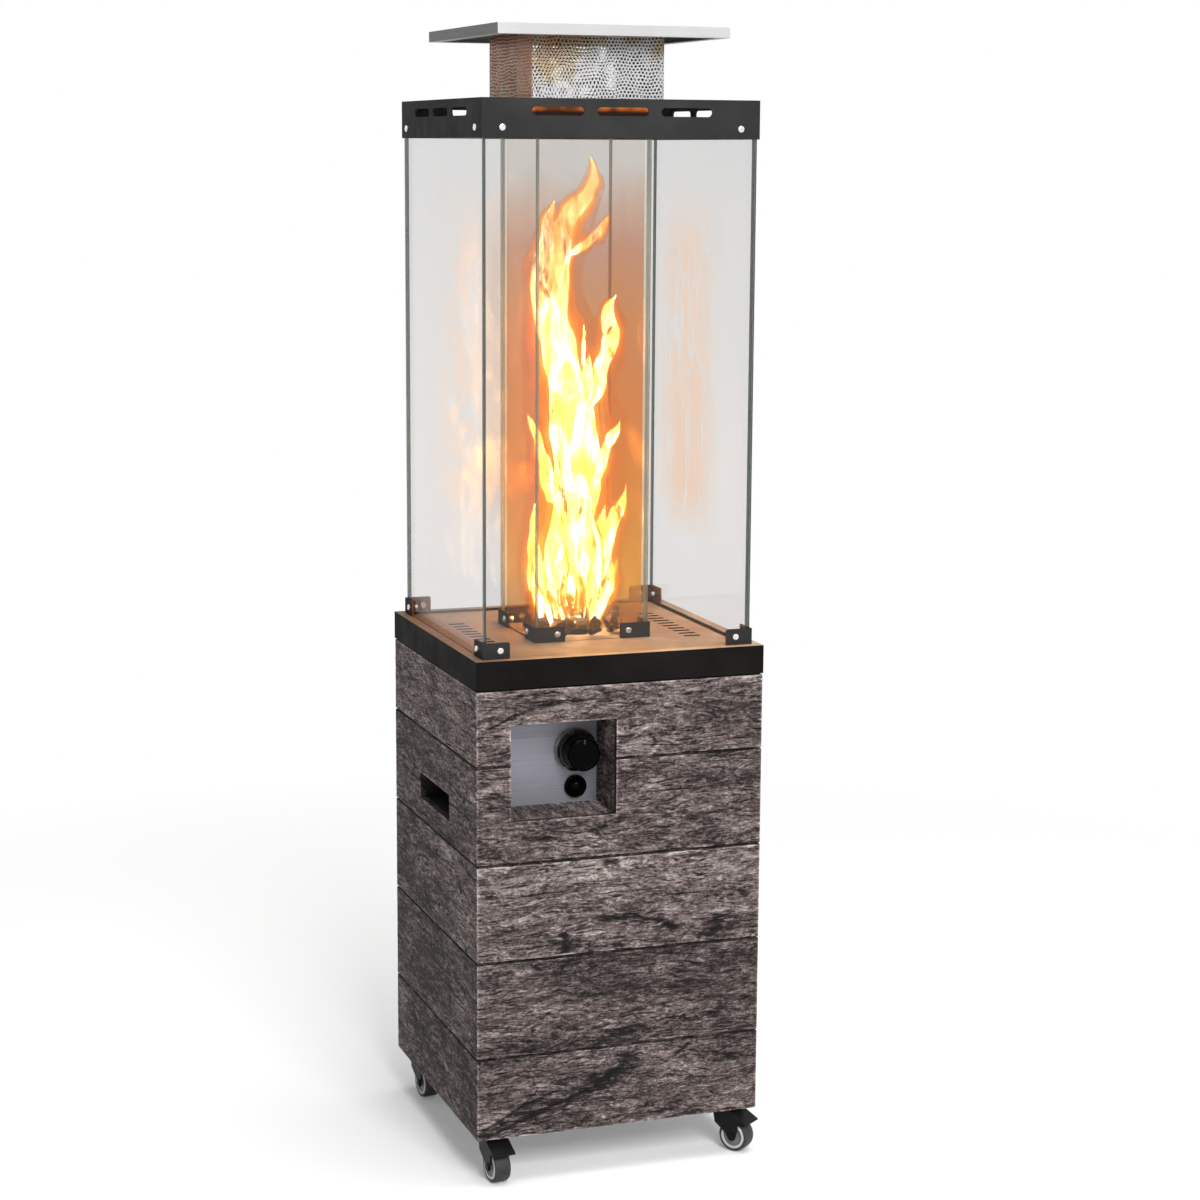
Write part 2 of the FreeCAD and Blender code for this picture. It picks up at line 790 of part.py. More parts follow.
def gas_valve():
    """The valve behind the panel: spindle boss in front, outlet on top, elbow with hose tail on the left."""
    front = panel_back + valve_boss_length
    axis = Vector(knob_x, panel_back, knob_z)
    body = block(
        knob_x - valve_width / 2,
        knob_x + valve_width / 2,
        front,
        front + valve_depth,
        knob_z - valve_height / 2,
        knob_z + valve_height / 2,
    )
    boss = rod(valve_boss_radius, axis, Y, valve_boss_length)
    outlet = rod(
        valve_port_radius, Vector(knob_x, valve_middle_y, knob_z + valve_height / 2), Z, valve_port_length
    )
    inlet_face = Vector(knob_x - valve_width / 2, valve_middle_y, knob_z)
    inlet = rod(valve_port_radius, inlet_face, -X, valve_port_length)
    reach = hose_elbow / 2
    elbow = block(
        hose_x - reach,
        hose_x + reach,
        valve_middle_y - reach,
        valve_middle_y + reach,
        knob_z - reach,
        knob_z + reach,
    )
    tail = rod(hose_tail_radius, Vector(hose_x, valve_middle_y, knob_z - reach), -Z, hose_tail_length)
    bore = rod(spindle_radius + running_clearance, axis, Y, spindle_bore_depth)
    save("gas_valve", joined([body, boss, outlet, inlet, elbow, tail]).cut(bore))


def knob_flutes(base):
    """Shallow hollows round the grip of the knob."""
    flutes = []
    distance = knob_cap_radius + knob_flute_radius - knob_flute_depth
    for index in range(knob_flute_count):
        turn = math.radians(360 * (index + 0.5) / knob_flute_count)
        offset = Vector(distance * math.cos(turn), -2 * knob_skirt_depth, distance * math.sin(turn))
        flutes.append(rod(knob_flute_radius, base + offset, -Y, knob_length))
    return flutes


def knob_parts():
    """Distances run from the back of the knob towards the front, along -Y."""
    rest = panel_front - knob_lift
    ring_back = Vector(knob_x, rest, knob_z)
    base = ring_back - Y * knob_ring_depth
    ring_inner = knob_skirt_radius - knob_ring_width
    ring_outer = knob_skirt_radius + running_clearance
    ring = [(ring_inner, 0), (ring_outer, 0), (ring_outer, knob_ring_depth), (ring_inner, knob_ring_depth)]
    save("knob_ring", turned(ring, ring_back, -Y))
    edge = 1.5
    profile = [
        (0, 0),
        (knob_skirt_radius, 0),
        (knob_skirt_radius, knob_skirt_depth - edge),
        (knob_skirt_radius - edge, knob_skirt_depth),
        (knob_grip_radius + edge, knob_skirt_depth + edge),
        (knob_grip_radius, knob_skirt_depth + 2 * edge),
        (knob_cap_radius, knob_length - edge),
        (knob_cap_radius - edge, knob_length),
        (0, knob_length),
    ]
    cavity = rod(knob_cavity_radius, base, -Y, knob_cavity_depth)
    hole = rod(spindle_radius + running_clearance, base, -Y, knob_cavity_depth + spindle_in_knob)
    notch = block(
        knob_x - knob_notch_width / 2,
        knob_x + knob_notch_width / 2,
        base.y - knob_length,
        base.y - knob_length + knob_notch_length,
        knob_z + knob_cap_radius - knob_notch_depth,
        knob_z + knob_skirt_radius,
    )
    knob = turned(profile, base, -Y).cut(knob_flutes(base) + [cavity, hole, notch])
    save("control_knob", knob)
    spindle_front = base.y - knob_cavity_depth - spindle_in_knob
    spindle_length = panel_back + spindle_tail - spindle_front
    save("valve_spindle", rod(spindle_radius, Vector(knob_x, spindle_front, knob_z), Y, spindle_length))
    collar_back = Vector(knob_x, base.y - side_clearance, knob_z)
    collar = rod(spindle_collar_radius, collar_back, -Y, spindle_collar_depth)
    collar_hole = rod(spindle_radius + running_clearance, collar_back, -Y, spindle_collar_depth)
    save("spindle_collar", collar.cut(collar_hole))


def igniter():
    """The barrel clamps the panel between its bezel and a nut; the button slides in the bezel and the bore."""
    face = Vector(igniter_x, panel_front, igniter_z)
    barrel = [
        (0, -igniter_bezel_depth),
        (igniter_bezel_radius - 1, -igniter_bezel_depth),
        (igniter_bezel_radius, 1 - igniter_bezel_depth),
        (igniter_bezel_radius, 0),
        (igniter_body_radius, 0),
        (igniter_body_radius, panel_sheet),
        (igniter_nut_radius, panel_sheet),
        (igniter_nut_radius, panel_sheet + igniter_nut_depth),
        (igniter_body_radius, panel_sheet + igniter_nut_depth),
        (igniter_body_radius, igniter_body_length),
        (0, igniter_body_length),
    ]
    mouth = face - Y * igniter_bezel_depth
    room_depth = igniter_bezel_depth - igniter_bezel_floor
    cap_room = rod(button_cap_radius + running_clearance, mouth, Y, room_depth)
    bore = rod(button_stem_radius + running_clearance, mouth, Y, button_bore_depth)
    save("igniter_barrel", turned(barrel, face, Y).cut([cap_room, bore]))
    cap_back = igniter_bezel_floor + button_push + side_clearance
    front = cap_back + button_cap_depth
    button = [
        (0, cap_back - button_stem_length),
        (button_stem_radius, cap_back - button_stem_length),
        (button_stem_radius, cap_back),
        (button_cap_radius, cap_back),
        (button_cap_radius, front),
        (button_cap_radius * 0.86, front + button_dome_height * 0.5),
        (button_cap_radius * 0.5, front + button_dome_height * 0.88),
        (0, front + button_dome_height),
    ]
    save("igniter_button", turned(button, face, -Y))


def burner():
    """The burner head on its stem, the sheet box under the deck and the pilot group beside the head."""
    floor = burner_box_floor
    floor_top = floor + burner_box_sheet
    box = square_block(burner_box_half, floor, plate_bottom)
    hollow = square_block(burner_box_half - burner_box_sheet, floor_top, plate_bottom)
    flange = square_ring(
        burner_box_half + burner_box_flange, burner_box_half, plate_bottom - burner_box_sheet, plate_bottom
    )
    save("burner_box", joined([box.cut(hollow), flange]))
    dome_top = plate_top + burner_above_deck
    dome_low = dome_top - burner_dome_height
    edge = 5.0
    profile = [
        (0, 0),
        (burner_stem_radius, 0),
        (burner_stem_radius, dome_low - floor_top - edge),
        (burner_dome_radius - edge, dome_low - floor_top),
        (burner_dome_radius, dome_low - floor_top + edge),
        (burner_dome_radius, dome_top - floor_top - edge),
        (burner_dome_radius - edge, dome_top - floor_top),
        (0, dome_top - floor_top),
    ]
    head = turned(profile, Vector(0, 0, floor_top), Z)
    ports = []
    port_depth = burner_dome_radius - burner_stem_radius
    for index in range(burner_port_count):
        turn = 360 * index / burner_port_count
        port = rod(burner_port_radius, Vector(burner_stem_radius, 0, dome_top - 2 * edge), X, port_depth)
        ports.append(spun(port, turn))
    save("burner_head", head.cut(ports))
    pilot_height = plate_top + pilot_above_deck - floor_top
    pilots = [
        (pilot_hood_radius, 0, pilot_height),
        (pilot_probe_radius, pilot_spacing, pilot_height),
        (pilot_spark_radius, -pilot_spacing, pilot_height),
    ]
    solids = [rod(radius, Vector(pilot_distance, y, floor_top), Z, tall) for radius, y, tall in pilots]
    save("pilot_burner", *solids)


def bent_pipe(points, radius, bend):
    """A round pipe along straight runs with a bend of one radius at each inner point."""
    edges = []
    start = points[0]
    for before, corner, after in zip(points, points[1:], points[2:]):
        come = (corner - before).normalize()
        leave = (after - corner).normalize()
        half_turn = come.getAngle(leave) / 2
        cut = bend * math.tan(half_turn)
        first, last = corner - come * cut, corner + leave * cut
        toward = (leave - come).normalize()
        middle = corner + toward * (bend / math.cos(half_turn) - bend)
        edges.append(Part.LineSegment(start, first).toShape())
        edges.append(Part.Arc(first, middle, last).toShape())
        start = last
    edges.append(Part.LineSegment(start, points[-1]).toShape())
    ring = Part.Wire([Part.makeCircle(radius, points[0], points[1] - points[0])])
    return Part.Wire(edges).makePipeShell([ring], True, False)


def gas_pipe():
    """The supply pipe from the valve's outlet to the underside of the burner box."""
    start = Vector(knob_x, valve_middle_y, knob_z + valve_height / 2 + valve_port_length)
    corner = start + Z * pipe_rise
    under = Vector(0, 0, corner.z)
    end = Vector(0, 0, burner_box_floor)
    save("gas_pipe", bent_pipe([start, corner, under, end], pipe_radius, pipe_bend_radius))


def tilt_switch():
    half = tilt_switch_size / 2
    level = cabinet_top - tilt_switch_below_top
    centre = board_inner - tilt_switch_from_board
    case = block(
        centre - half,
        centre + half,
        -board_inner,
        -board_inner + tilt_switch_size,
        level - half,
        level + half,
    )
    cap = rod(half * 0.6, Vector(centre, -board_inner + half, level + half), Z, half * 0.5)
    save("tilt_switch", joined([case, cap]))


def rock(index):
    """A lump left where three slabs cross at uneven angles, resting on the deck plate."""
    half = rock_size / 2
    lump = None
    for layer in range(3):
        slab = block(-half, half, -half, half, -half * rock_flatness, half * rock_flatness)
        slab.rotate(CENTRE, Vector(1, 0.4 + 0.3 * layer, 0.2 * index + 0.1), 37 * layer + 11 * index)
        slab.rotate(CENTRE, Z, 53 * layer + 29 * index)
        lump = slab if lump is None else lump.common(slab)
    turn = math.radians(360 * index / rock_count)
    place = Vector(rock_ring_radius * math.cos(turn), rock_ring_radius * math.sin(turn), 0)
    place.z = plate_top - lump.BoundBox.ZMin
    return moved(lump, place)


def lava_rocks():
    save("lava_rocks", *[rock(index) for index in range(rock_count)])


def to_corner(shape, corner):
    """Turn a caster piece to its heading and set it under its corner of the cabinet."""
    return moved(spun(shape, caster_heading[corner]), caster_centre(corner))


def caster_plate():
    """Mounting plate with the race boss and the riveted king pin under it."""
    plate = square_block(caster_plate_half, caster_plate_bottom, cabinet_bottom)
    race_low = fork_top + side_clearance
    race = rod(race_radius, Vector(0, 0, race_low), Z, caster_plate_bottom - race_low)
    pin_low = fork_crown_bottom - side_clearance
    pin = rod(king_pin_radius, Vector(0, 0, pin_low), Z, race_low - pin_low)
    head = rod(king_pin_head_radius, Vector(0, 0, pin_low - king_pin_head), Z, king_pin_head)
    hole_radius = low_screw_radius + bolt_clearance
    holes = [
        rod(hole_radius, offset + Z * caster_plate_bottom, Z, caster_plate_thickness)
        for offset in plate_hole_offsets()
    ]
    return joined([plate, race, pin, head]).cut(holes)


def fork():
    """A hooded fork: two cheeks under a round crown, cut out for the wheel, the king pin and the pedal."""
    tip = 7.0
    profile = [
        (-fork_top_radius, fork_top),
        (fork_top_radius, fork_top),
        (fork_top_radius, fork_crown_bottom - 1),
        (pedal_pivot_x + 1, pedal_pivot_z + 2.6),
        (pedal_pivot_x + 5.5, pedal_pivot_z - 1),
        (wheel_offset + 10, wheel_radius + 16),
        (wheel_offset + tip, wheel_radius + 2),
        (wheel_offset + tip * 0.7, wheel_radius - tip * 0.7),
        (wheel_offset, wheel_radius - tip),
        (wheel_offset - tip * 0.7, wheel_radius - tip * 0.7),
        (wheel_offset - tip - 3, wheel_radius + 4),
        (wheel_offset - wheel_radius - 5, wheel_radius + 17),
        (-fork_top_radius + 1, wheel_radius + 28),
    ]
    body = side_prism(profile, fork_outer)
    axle_place = Vector(wheel_offset, -fork_inner, wheel_radius)
    wheel_room = rod(wheel_radius + 2, axle_place, Y, 2 * fork_inner)
    slot = block(
        0, 2 * wheel_radius + wheel_offset, -fork_inner, fork_inner, 0, fork_crown_bottom
    )
    pin_hole = rod(king_pin_radius + running_clearance, Vector(0, 0, fork_crown_bottom), Z, fork_crown)
    head_room = rod(
        king_pin_head_radius + side_clearance,
        Vector(0, 0, fork_crown_bottom - king_pin_head - 2 * side_clearance),
        Z,
        king_pin_head + 2 * side_clearance,
    )
    axle_hole = rod(axle_radius, Vector(wheel_offset, -fork_outer, wheel_radius), Y, 2 * fork_outer)
    pedal_hole = rod(
        pedal_pin_radius + running_clearance, Vector(pedal_pivot_x, -fork_outer, pedal_pivot_z), Y, 2 * fork_outer
    )
    return body.cut([wheel_room, slot, pin_hole, head_room, axle_hole, pedal_hole])


def axle():
    """The riveted axle with a head outside each cheek."""
    start = Vector(wheel_offset, -fork_outer, wheel_radius)
    shaft = rod(axle_radius, start, Y, 2 * fork_outer)
    heads = [
        rod(axle_head_radius, start, -Y, axle_head),
        rod(axle_head_radius, start + Y * (2 * fork_outer), Y, axle_head),
    ]
    return joined([shaft] + heads)


def wheel():
    """A dished hub with a raised rim, and the tyre moulded on it."""
    half = wheel_width / 2
    centre = Vector(wheel_offset, 0, wheel_radius)
    bore = axle_radius + running_clearance
    rim_inner = hub_radius - hub_rim
    face = half - 0.5
    dish = face - hub_dish
    hub_side = [(rim_inner - 1, dish), (rim_inner, face), (hub_radius, face)]
    hub_profile = [(bore, -half), (hub_boss_radius, -half), (hub_boss_radius, -dish)]
    hub_profile += [(radius, -along) for radius, along in hub_side]
    hub_profile += list(reversed(hub_side))
    hub_profile += [(hub_boss_radius, dish), (hub_boss_radius, half), (bore, half)]
    tyre_side = [
        (hub_radius, face),
        (hub_radius + 1, half),
        (wheel_radius - 1.5, half - 1),
        (wheel_radius - 0.4, half - 3),
        (wheel_radius, half - 6),
    ]
    tyre_profile = [(radius, -along) for radius, along in tyre_side] + list(reversed(tyre_side))
    return turned(hub_profile, centre, Y), turned(tyre_profile, centre, Y)


def pedal_point(x, z, degrees):
    """A point of the pedal after it turns nose down by degrees about its pin."""
    turn = math.radians(degrees)
    dx, dz = x - pedal_pivot_x, z - pedal_pivot_z
    return (
        pedal_pivot_x + dx * math.cos(turn) + dz * math.sin(turn),
        pedal_pivot_z - dx * math.sin(turn) + dz * math.cos(turn),
    )


def brake_pedal():
    """A hood plate over the fork with skirts outside the cheeks, its pin, and the toe that meets the tyre."""
    half = fork_outer + side_clearance + pedal_skirt
    inner = fork_outer + side_clearance
    back_x = fork_top_radius + 1.2
    back_z = fork_top - 1.5
    slope = (back_z - pedal_lip_z) / (pedal_lip_x - back_x)
    plate_profile = [
        (back_x, back_z),
        (pedal_lip_x, pedal_lip_z),
        (pedal_lip_x + 1, pedal_lip_z - pedal_sheet),
        (pedal_lip_x - 3, pedal_lip_z - pedal_sheet),
        (pedal_lip_x - 5, pedal_lip_z + 5 * slope - pedal_sheet),
        (back_x, back_z - pedal_sheet),
    ]
    skirt_profile = [
        (back_x, back_z - 0.5),
        (pedal_lip_x - 4, pedal_lip_z + 4 * slope - 0.5),
        (pedal_lip_x - 8, pedal_lip_z - 2),
        (pedal_pivot_x + 4, pedal_pivot_z - 4),
        (pedal_pivot_x - 1.5, pedal_pivot_z - 3.5),
    ]
    plate = side_prism(plate_profile, half)
    skirts = side_prism(skirt_profile, half).cut(
        block(0, 2 * pedal_lip_x, -inner, inner, 0, fork_top)
    )
    pin = rod(pedal_pin_radius, Vector(pedal_pivot_x, -half, pedal_pivot_z), Y, 2 * half)
    toe_reach = wheel_radius + brake_gap + brake_toe_radius
    angle = math.radians(brake_toe_angle)
    pressed = (wheel_offset + toe_reach * math.cos(angle), wheel_radius + toe_reach * math.sin(angle))
    toe_x, toe_z = pedal_point(pressed[0], pressed[1], -pedal_travel)
    toe_half = fork_inner - 2
    toe = rod(brake_toe_radius, Vector(toe_x, -toe_half, toe_z), Y, 2 * toe_half)
    under = back_z - slope * (toe_x - back_x) - pedal_sheet / 2
    web = block(
        toe_x - brake_toe_radius, toe_x + brake_toe_radius, -toe_half, toe_half, toe_z, under
    )
    return joined([plate, skirts, pin, toe, web])


def casters():
    plate = caster_plate()
    save("caster_plates", *[moved(plate, caster_centre(corner)) for corner in caster_side])
    hub, tyre = wheel()
    hood = fork()
    pin = axle()
    pedal = brake_pedal()
    for corner in caster_side:
        save("fork_" + corner, to_corner(hood, corner), to_corner(pin, corner))
        save("wheel_" + corner, to_corner(hub, corner), to_corner(tyre, corner))
        save("brake_pedal_" + corner, to_corner(pedal, corner))


def main():
    os.makedirs("parts", exist_ok=True)
    cladding()
    hand_cups()
    control_recess()
    base_tray()
    corner_posts()
    deck()
    glass_brackets()
    outer_glass()
    inner_glass()
    glass_screws()
    upper_frame()
    chimney()
    sheet_screws()
    door_fittings()
    gas_valve()
    knob_parts()
    igniter()
    burner()
    gas_pipe()
    tilt_switch()
    lava_rocks()
    casters()


main()
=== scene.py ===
"""Looks of a free-standing patio heater: a glass flame tower on a wood-clad rolling cabinet.

Metres, Z up, front to -Y.
"""

import json
import math
import random

import bmesh
import bpy
import numpy as np
from mathutils import Matrix, Vector, noise


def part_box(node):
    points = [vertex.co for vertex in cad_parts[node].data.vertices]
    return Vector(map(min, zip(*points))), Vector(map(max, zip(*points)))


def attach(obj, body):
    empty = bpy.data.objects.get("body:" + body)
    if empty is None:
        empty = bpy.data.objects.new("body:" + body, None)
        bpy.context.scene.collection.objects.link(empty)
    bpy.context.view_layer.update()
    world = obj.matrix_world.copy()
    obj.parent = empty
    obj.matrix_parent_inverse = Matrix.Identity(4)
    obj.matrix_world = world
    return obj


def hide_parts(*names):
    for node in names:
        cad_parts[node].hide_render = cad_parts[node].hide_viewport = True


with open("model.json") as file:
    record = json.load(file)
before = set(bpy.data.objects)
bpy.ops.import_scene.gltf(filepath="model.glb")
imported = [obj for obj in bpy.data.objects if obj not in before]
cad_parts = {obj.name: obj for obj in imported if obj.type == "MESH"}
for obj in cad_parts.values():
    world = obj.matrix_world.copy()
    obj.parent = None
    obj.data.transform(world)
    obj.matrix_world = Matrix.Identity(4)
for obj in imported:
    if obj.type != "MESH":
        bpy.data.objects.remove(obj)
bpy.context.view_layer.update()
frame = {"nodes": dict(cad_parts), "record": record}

# noise_vector takes its offsets from this seed
noise.seed_set(5)

MM = 0.001
SAME = 1e-6
SHARP = 34
WHITE = (1, 1, 1)
Y = Vector((0, 1, 0))
Z = Vector((0, 0, 1))

BOARD_LOW, BOARD_HIGH = (corner.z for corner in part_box("cladding_front"))
BOARD_FACE = -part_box("cladding_front")[0].y
FIRST_SEAM, PLANK = 117, 138
SEAMS = [BOARD_LOW + (FIRST_SEAM + PLANK * step) * MM for step in range(4)]
SEAM_HALF = 1.25 * MM
BAND_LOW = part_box("upper_band")[0].z
BAND_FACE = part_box("upper_band")[1].x
DECK_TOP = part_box("deck_frame")[1].z
PLATE_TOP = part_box("deck_plate")[1].z
CHIMNEY_LOW, CHIMNEY_HIGH = (corner.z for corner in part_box("chimney_screen"))
CHIMNEY_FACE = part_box("chimney_screen")[1].x
BRACKET_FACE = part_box("outer_brackets")[1].x
TUBE_BRACKET_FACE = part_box("inner_brackets")[1].x
TUBE_INSIDE = -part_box("inner_glass_front")[1].y
PANEL_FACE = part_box("control_panel")[0].y
KNOB_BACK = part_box("control_knob")[1].y


def middle(low, high):
    return (low.x + high.x) / 2, (low.z + high.z) / 2


KNOB_X, KNOB_Z = middle(*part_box("knob_ring"))
BUTTON_X, BUTTON_Z = middle(*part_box("igniter_button"))

# Heights of the burner, of the flame's tip, of the top of the painted flame glow in the tube and of the lit edge of the
# inner collar
FLAME_FOOT, FLAME_TIP, TUBE_GLOW_TOP, COLLAR_TOP = 0.75, 1.40, 1.45, 1.4810
# Heights between which the panes mirror the flame, below which side panes carry a painted warm tint of the flame's
# light, and where licks begin
MIRROR_LOW, MIRROR_HIGH, PANE_GLOW_LOW, LICK_LOW, LICK_SPAN = 0.86, 1.38, 0.95, 0.76, 0.12


# Node trees


class Value:
    """An output of a node. The node is made when a tree that needs it is filled."""

    def __init__(self, kind, inputs=(), output=0, **settings):
        self.node, self.output = (kind, dict(inputs), settings), output

    def take(self, output):
        """Another output of the same node."""
        other = Value("")
        other.node, other.output = self.node, output
        return other

    def __add__(self, other):
        return calc("ADD", self, other)

    def __sub__(self, other):
        return calc("SUBTRACT", self, other)

    def __mul__(self, other):
        return calc("MULTIPLY", self, other)


def fill(tree, value, made):
    """The node of a value. It is added to the tree, with all that leads to it, unless made has it already."""
    if id(value.node) not in made:
        kind, inputs, settings = value.node
        node = made[id(value.node)] = tree.nodes.new(kind if "Node" in kind else "ShaderNode" + kind)
        for name, setting in settings.items():
            if name == "stops":
                set_stops(node.color_ramp.elements, setting)
            else:
                setattr(node, name, setting)
        for name, source in inputs.items():
            socket = node.inputs[name]
            if isinstance(source, Value):
                tree.links.new(fill(tree, source, made).outputs[source.output], socket)
            else:
                socket.default_value = (*source, 1) if socket.type == "RGBA" else source
    return made[id(value.node)]


def set_stops(marks, stops):
    while len(marks) < len(stops):
        marks.new(0.5)
    for mark, (place, colour) in zip(marks, stops):
        mark.position = place
        mark.color = (*colour, 1) if isinstance(colour, tuple) else (colour, colour, colour, 1)


def calc(operation, first, second=0.0):
    return Value("Math", {0: first, 1: second}, operation=operation)


def vector(operation, first, second=(0, 0, 0)):
    output = "Value" if operation in ("DOT_PRODUCT", "LENGTH") else "Vector"
    return Value("VectorMath", {0: first, "Scale" if operation == "SCALE" else 1: second}, output, operation=operation)


def part(place, axis):
    return Value("SeparateXYZ", {"Vector": place}, axis)


PLACE = Value("TexCoord", output="Object")
NORMAL = PLACE.take("Normal")
LEVEL_PLACE = vector("MULTIPLY", PLACE, (1, 1, 0))
HEIGHT = part(PLACE, 2)


def clouds(scale, detail=4.0, rough=0.55, wander=0.0, place=PLACE, output=0):
    """Noise, in a place that a scale of three numbers stretches first. Output 1 is the vector."""
    if isinstance(scale, tuple):
        place, scale = Value("Mapping", {"Vector": place, "Scale": scale}), 1.0
    inputs = {"Vector": place, "Scale": scale, "Detail": detail, "Roughness": rough, "Distortion": wander}
    return Value("TexNoise", inputs, output)


def cells(scale):
    return Value("TexVoronoi", {"Vector": PLACE, "Scale": scale})


def ramp(value, *stops):
    return Value("ValToRGB", {"Fac": value}, stops=stops)


def span(value, low, high, start=0.0, end=1.0):
    """From start to end while value goes from low to high."""
    return Value("MapRange", {0: value, 1: low, 2: high, 3: start, 4: end})


def blend(share, first, second, kind="MIX"):
    return Value("Mix", {0: share, 6: first, 7: second}, 2, data_type="RGBA", blend_type=kind)


def bump(height, depth, strength=1.0):
    return Value("Bump", {"Height": height, "Distance": depth, "Strength": strength})


def mixed(share, first, second):
    return Value("MixShader", {0: share, 1: first, 2: second})


def see_through(colour):
    return Value("BsdfTransparent", {"Color": colour})


def light(colour, strength=1.0):
    return Value("Emission", {"Color": colour, "Strength": strength})


def principled(colour, roughness, normal=None, metallic=0.0, specular=0.5, glow=None, strength=0.0):
    inputs = {"Base Color": colour, "Roughness": roughness, "Metallic": metallic, "Specular IOR Level": specular}
    if normal is not None:
        inputs["Normal"] = normal
    if glow is not None:
        inputs.update({"Emission Color": glow, "Emission Strength": strength})
    return Value("BsdfPrincipled", inputs)


def material(name, shader):
    made = bpy.data.materials.new(name)
    made.use_nodes = True
    made.node_tree.nodes.clear()
    fill(made.node_tree, Value("OutputMaterial", {"Surface": shader}), {})
    return made


def coat(name, *looks, **more):
    return material(name, principled(*looks, **more))


def scaled(colour, share, lift=0.0):
    return tuple(min(1.0, channel * share + lift) for channel in colour)


# Finishes


def wood_finish(name, direction=None, hollow=0.16, tone=-1.4):
    """Weathered grey-brown boards.

    Boards that carry a grain map read it. Others read their own place, with the grain along direction.
    """
    if direction is None:
        along = Value("UVMap", uv_map="grain")
        hollow, tone = (Value("Attribute", output="Fac", attribute_name=label) for label in ("hollow", "tone"))
    else:
        level = HEIGHT + part(PLACE, "YX".index(direction))
        along = Value("CombineXYZ", {"X": part(PLACE, "XY".index(direction)), "Y": level})
    wander = clouds((9, 24, 1), 3, place=along, output=1)
    shift = vector("MULTIPLY", vector("SUBTRACT", wander, (0.5, 0.5, 0.5)), (0.05, 0.024, 0))
    grain = vector("ADD", along, shift)
    fibre = clouds((105, 380, 1), 5, 0.75, place=grain)
    fleck = clouds((42, 165, 1), 5, 0.68, 0.9, grain)
    mottle = clouds((210, 300, 1), 3, 0.7, 0.5, along)
    band = clouds((9, 40, 1), 4, 0.6, place=grain)
    patch = clouds((4.5, 8, 1), 3, place=along)
    level = fibre * 0.32
    for layer, share in ((fleck, 0.42), (mottle, 0.24), (band, 0.22), (patch, 0.16), (tone, 0.05)):
        level += calc("MULTIPLY", layer, share)
    colour = ramp(
        level - 0.175,
        (0.385, (0.007, 0.005, 0.005)),
        (0.445, (0.036, 0.0265, 0.0255)),
        (0.500, (0.108, 0.082, 0.079)),
        (0.555, (0.240, 0.194, 0.184)),
        (0.630, (0.540, 0.470, 0.440)),
    )
    split = ramp(clouds((30, 185, 1), 3, 0.55, 1.1, grain), (0.36, 0.14), (0.42, 1.0))
    split *= ramp(clouds((13, 340, 1), 2, 0.45, 0.5, grain), (0.335, 0.18), (0.375, 1.0))
    ragged = (fleck * 0.7 + fibre * 0.3 - 0.5) * 3.0 * calc("SQRT", calc("MAXIMUM", hollow, 0.0))
    # Splits, knots and seams are darker; round the wide shallow marks this darkening is painted shade
    dark = ramp(calc("SUBTRACT", hollow, ragged), (0.05, 1.0), (0.30, 0.58), (0.52, 0.22), (0.85, 0.07))
    for shade in (split, dark):
        colour = blend(1.0, colour, shade, "MULTIPLY")
    relief = bump(fleck * 0.9 + split * 0.35 + fibre * 0.4 - hollow, 0.9 * MM, 0.85)
    return coat(name, colour, ramp(fibre, (0.3, 0.92), (0.7, 0.66)), relief, specular=0.2)


def powder_coat(name, colour, roughness, gloss):
    shade = blend(ramp(clouds(9, 5), (0.35, 0.0), (0.75, 1.0)), colour, scaled(colour, 1.5, 0.003))
    rub = ramp(clouds(30), (0.3, roughness - 0.07), (0.7, roughness + 0.08))
    return coat(name, shade, rub, bump(clouds(1500, 2), 0.06 * MM, 0.5), specular=gloss)


def brushed_steel(name, colour, direction, roughness, mark=0.35, metal=1.0):
    """Sheet steel with fine brush lines along direction."""
    lines = clouds({"X": (6, 900, 900), "Y": (900, 6, 900), "Z": (900, 900, 6)}[direction], 3, 0.6)
    shade = blend(ramp(clouds(7, 3), (0.3, 0.0), (0.7, 1.0)), scaled(colour, 0.82), colour)
    shade = blend(lines * mark, shade, scaled(colour, 0.6))
    rub = ramp(lines, (0.3, roughness - 0.06), (0.7, roughness + 0.12))
    return coat(name, shade, rub, bump(lines, 0.05 * MM, mark), metal)


def plated_steel(name, colour, roughness=0.38):
    """Zinc plate with a faint spangle."""
    shade = blend(ramp(cells(90), (0.1, 0.0), (0.9, 1.0)), colour, scaled(colour, 0.78))
    return coat(name, shade, ramp(clouds(40), (0.3, roughness - 0.08), (0.7, roughness + 0.1)), metallic=0.9)


def heat_tinted_steel(name):
    """Bright chimney steel, tinted brown and gold in clouds by the heat, browner on its left face as painted shade, and
    near black on its inner faces.
    """
    # Painted shade: the left face takes more of the brown tint
    left_face_shade = calc("LESS_THAN", part(PLACE, 0), 2 * MM - CHIMNEY_FACE) * 0.30
    tint = clouds((15, 15, 6), 3, 0.55, 0.4) + (HEIGHT - 1.55) * 2.6 + left_face_shade
    steel = ramp(tint, (0.52, (0.53, 0.52, 0.53)), (0.62, (0.40, 0.32, 0.20)), (0.74, (0.42, 0.21, 0.12)))
    inside = calc("LESS_THAN", vector("DOT_PRODUCT", NORMAL, LEVEL_PLACE), 0.03)
    shade = blend(inside, steel, (0.014, 0.010, 0.008))
    return coat(name, shade, ramp(clouds(60), (0.3, 0.34), (0.7, 0.48)), metallic=0.75)


def collar_painted_glow(name):
    """Thin steel with a painted orange glow along its upper edge, where the flame lights it up."""
    lit_share = span(HEIGHT, COLLAR_TOP - 4.5 * MM, COLLAR_TOP) * ramp(clouds(14, 3), (0.42, 0.12), (0.60, 1.0))
    glow = blend(lit_share, (0.010, 0.003, 0.001), (1.0, 0.24, 0.03))
    return coat(name, (0.016, 0.010, 0.008), 0.5, glow=glow, strength=1.0)


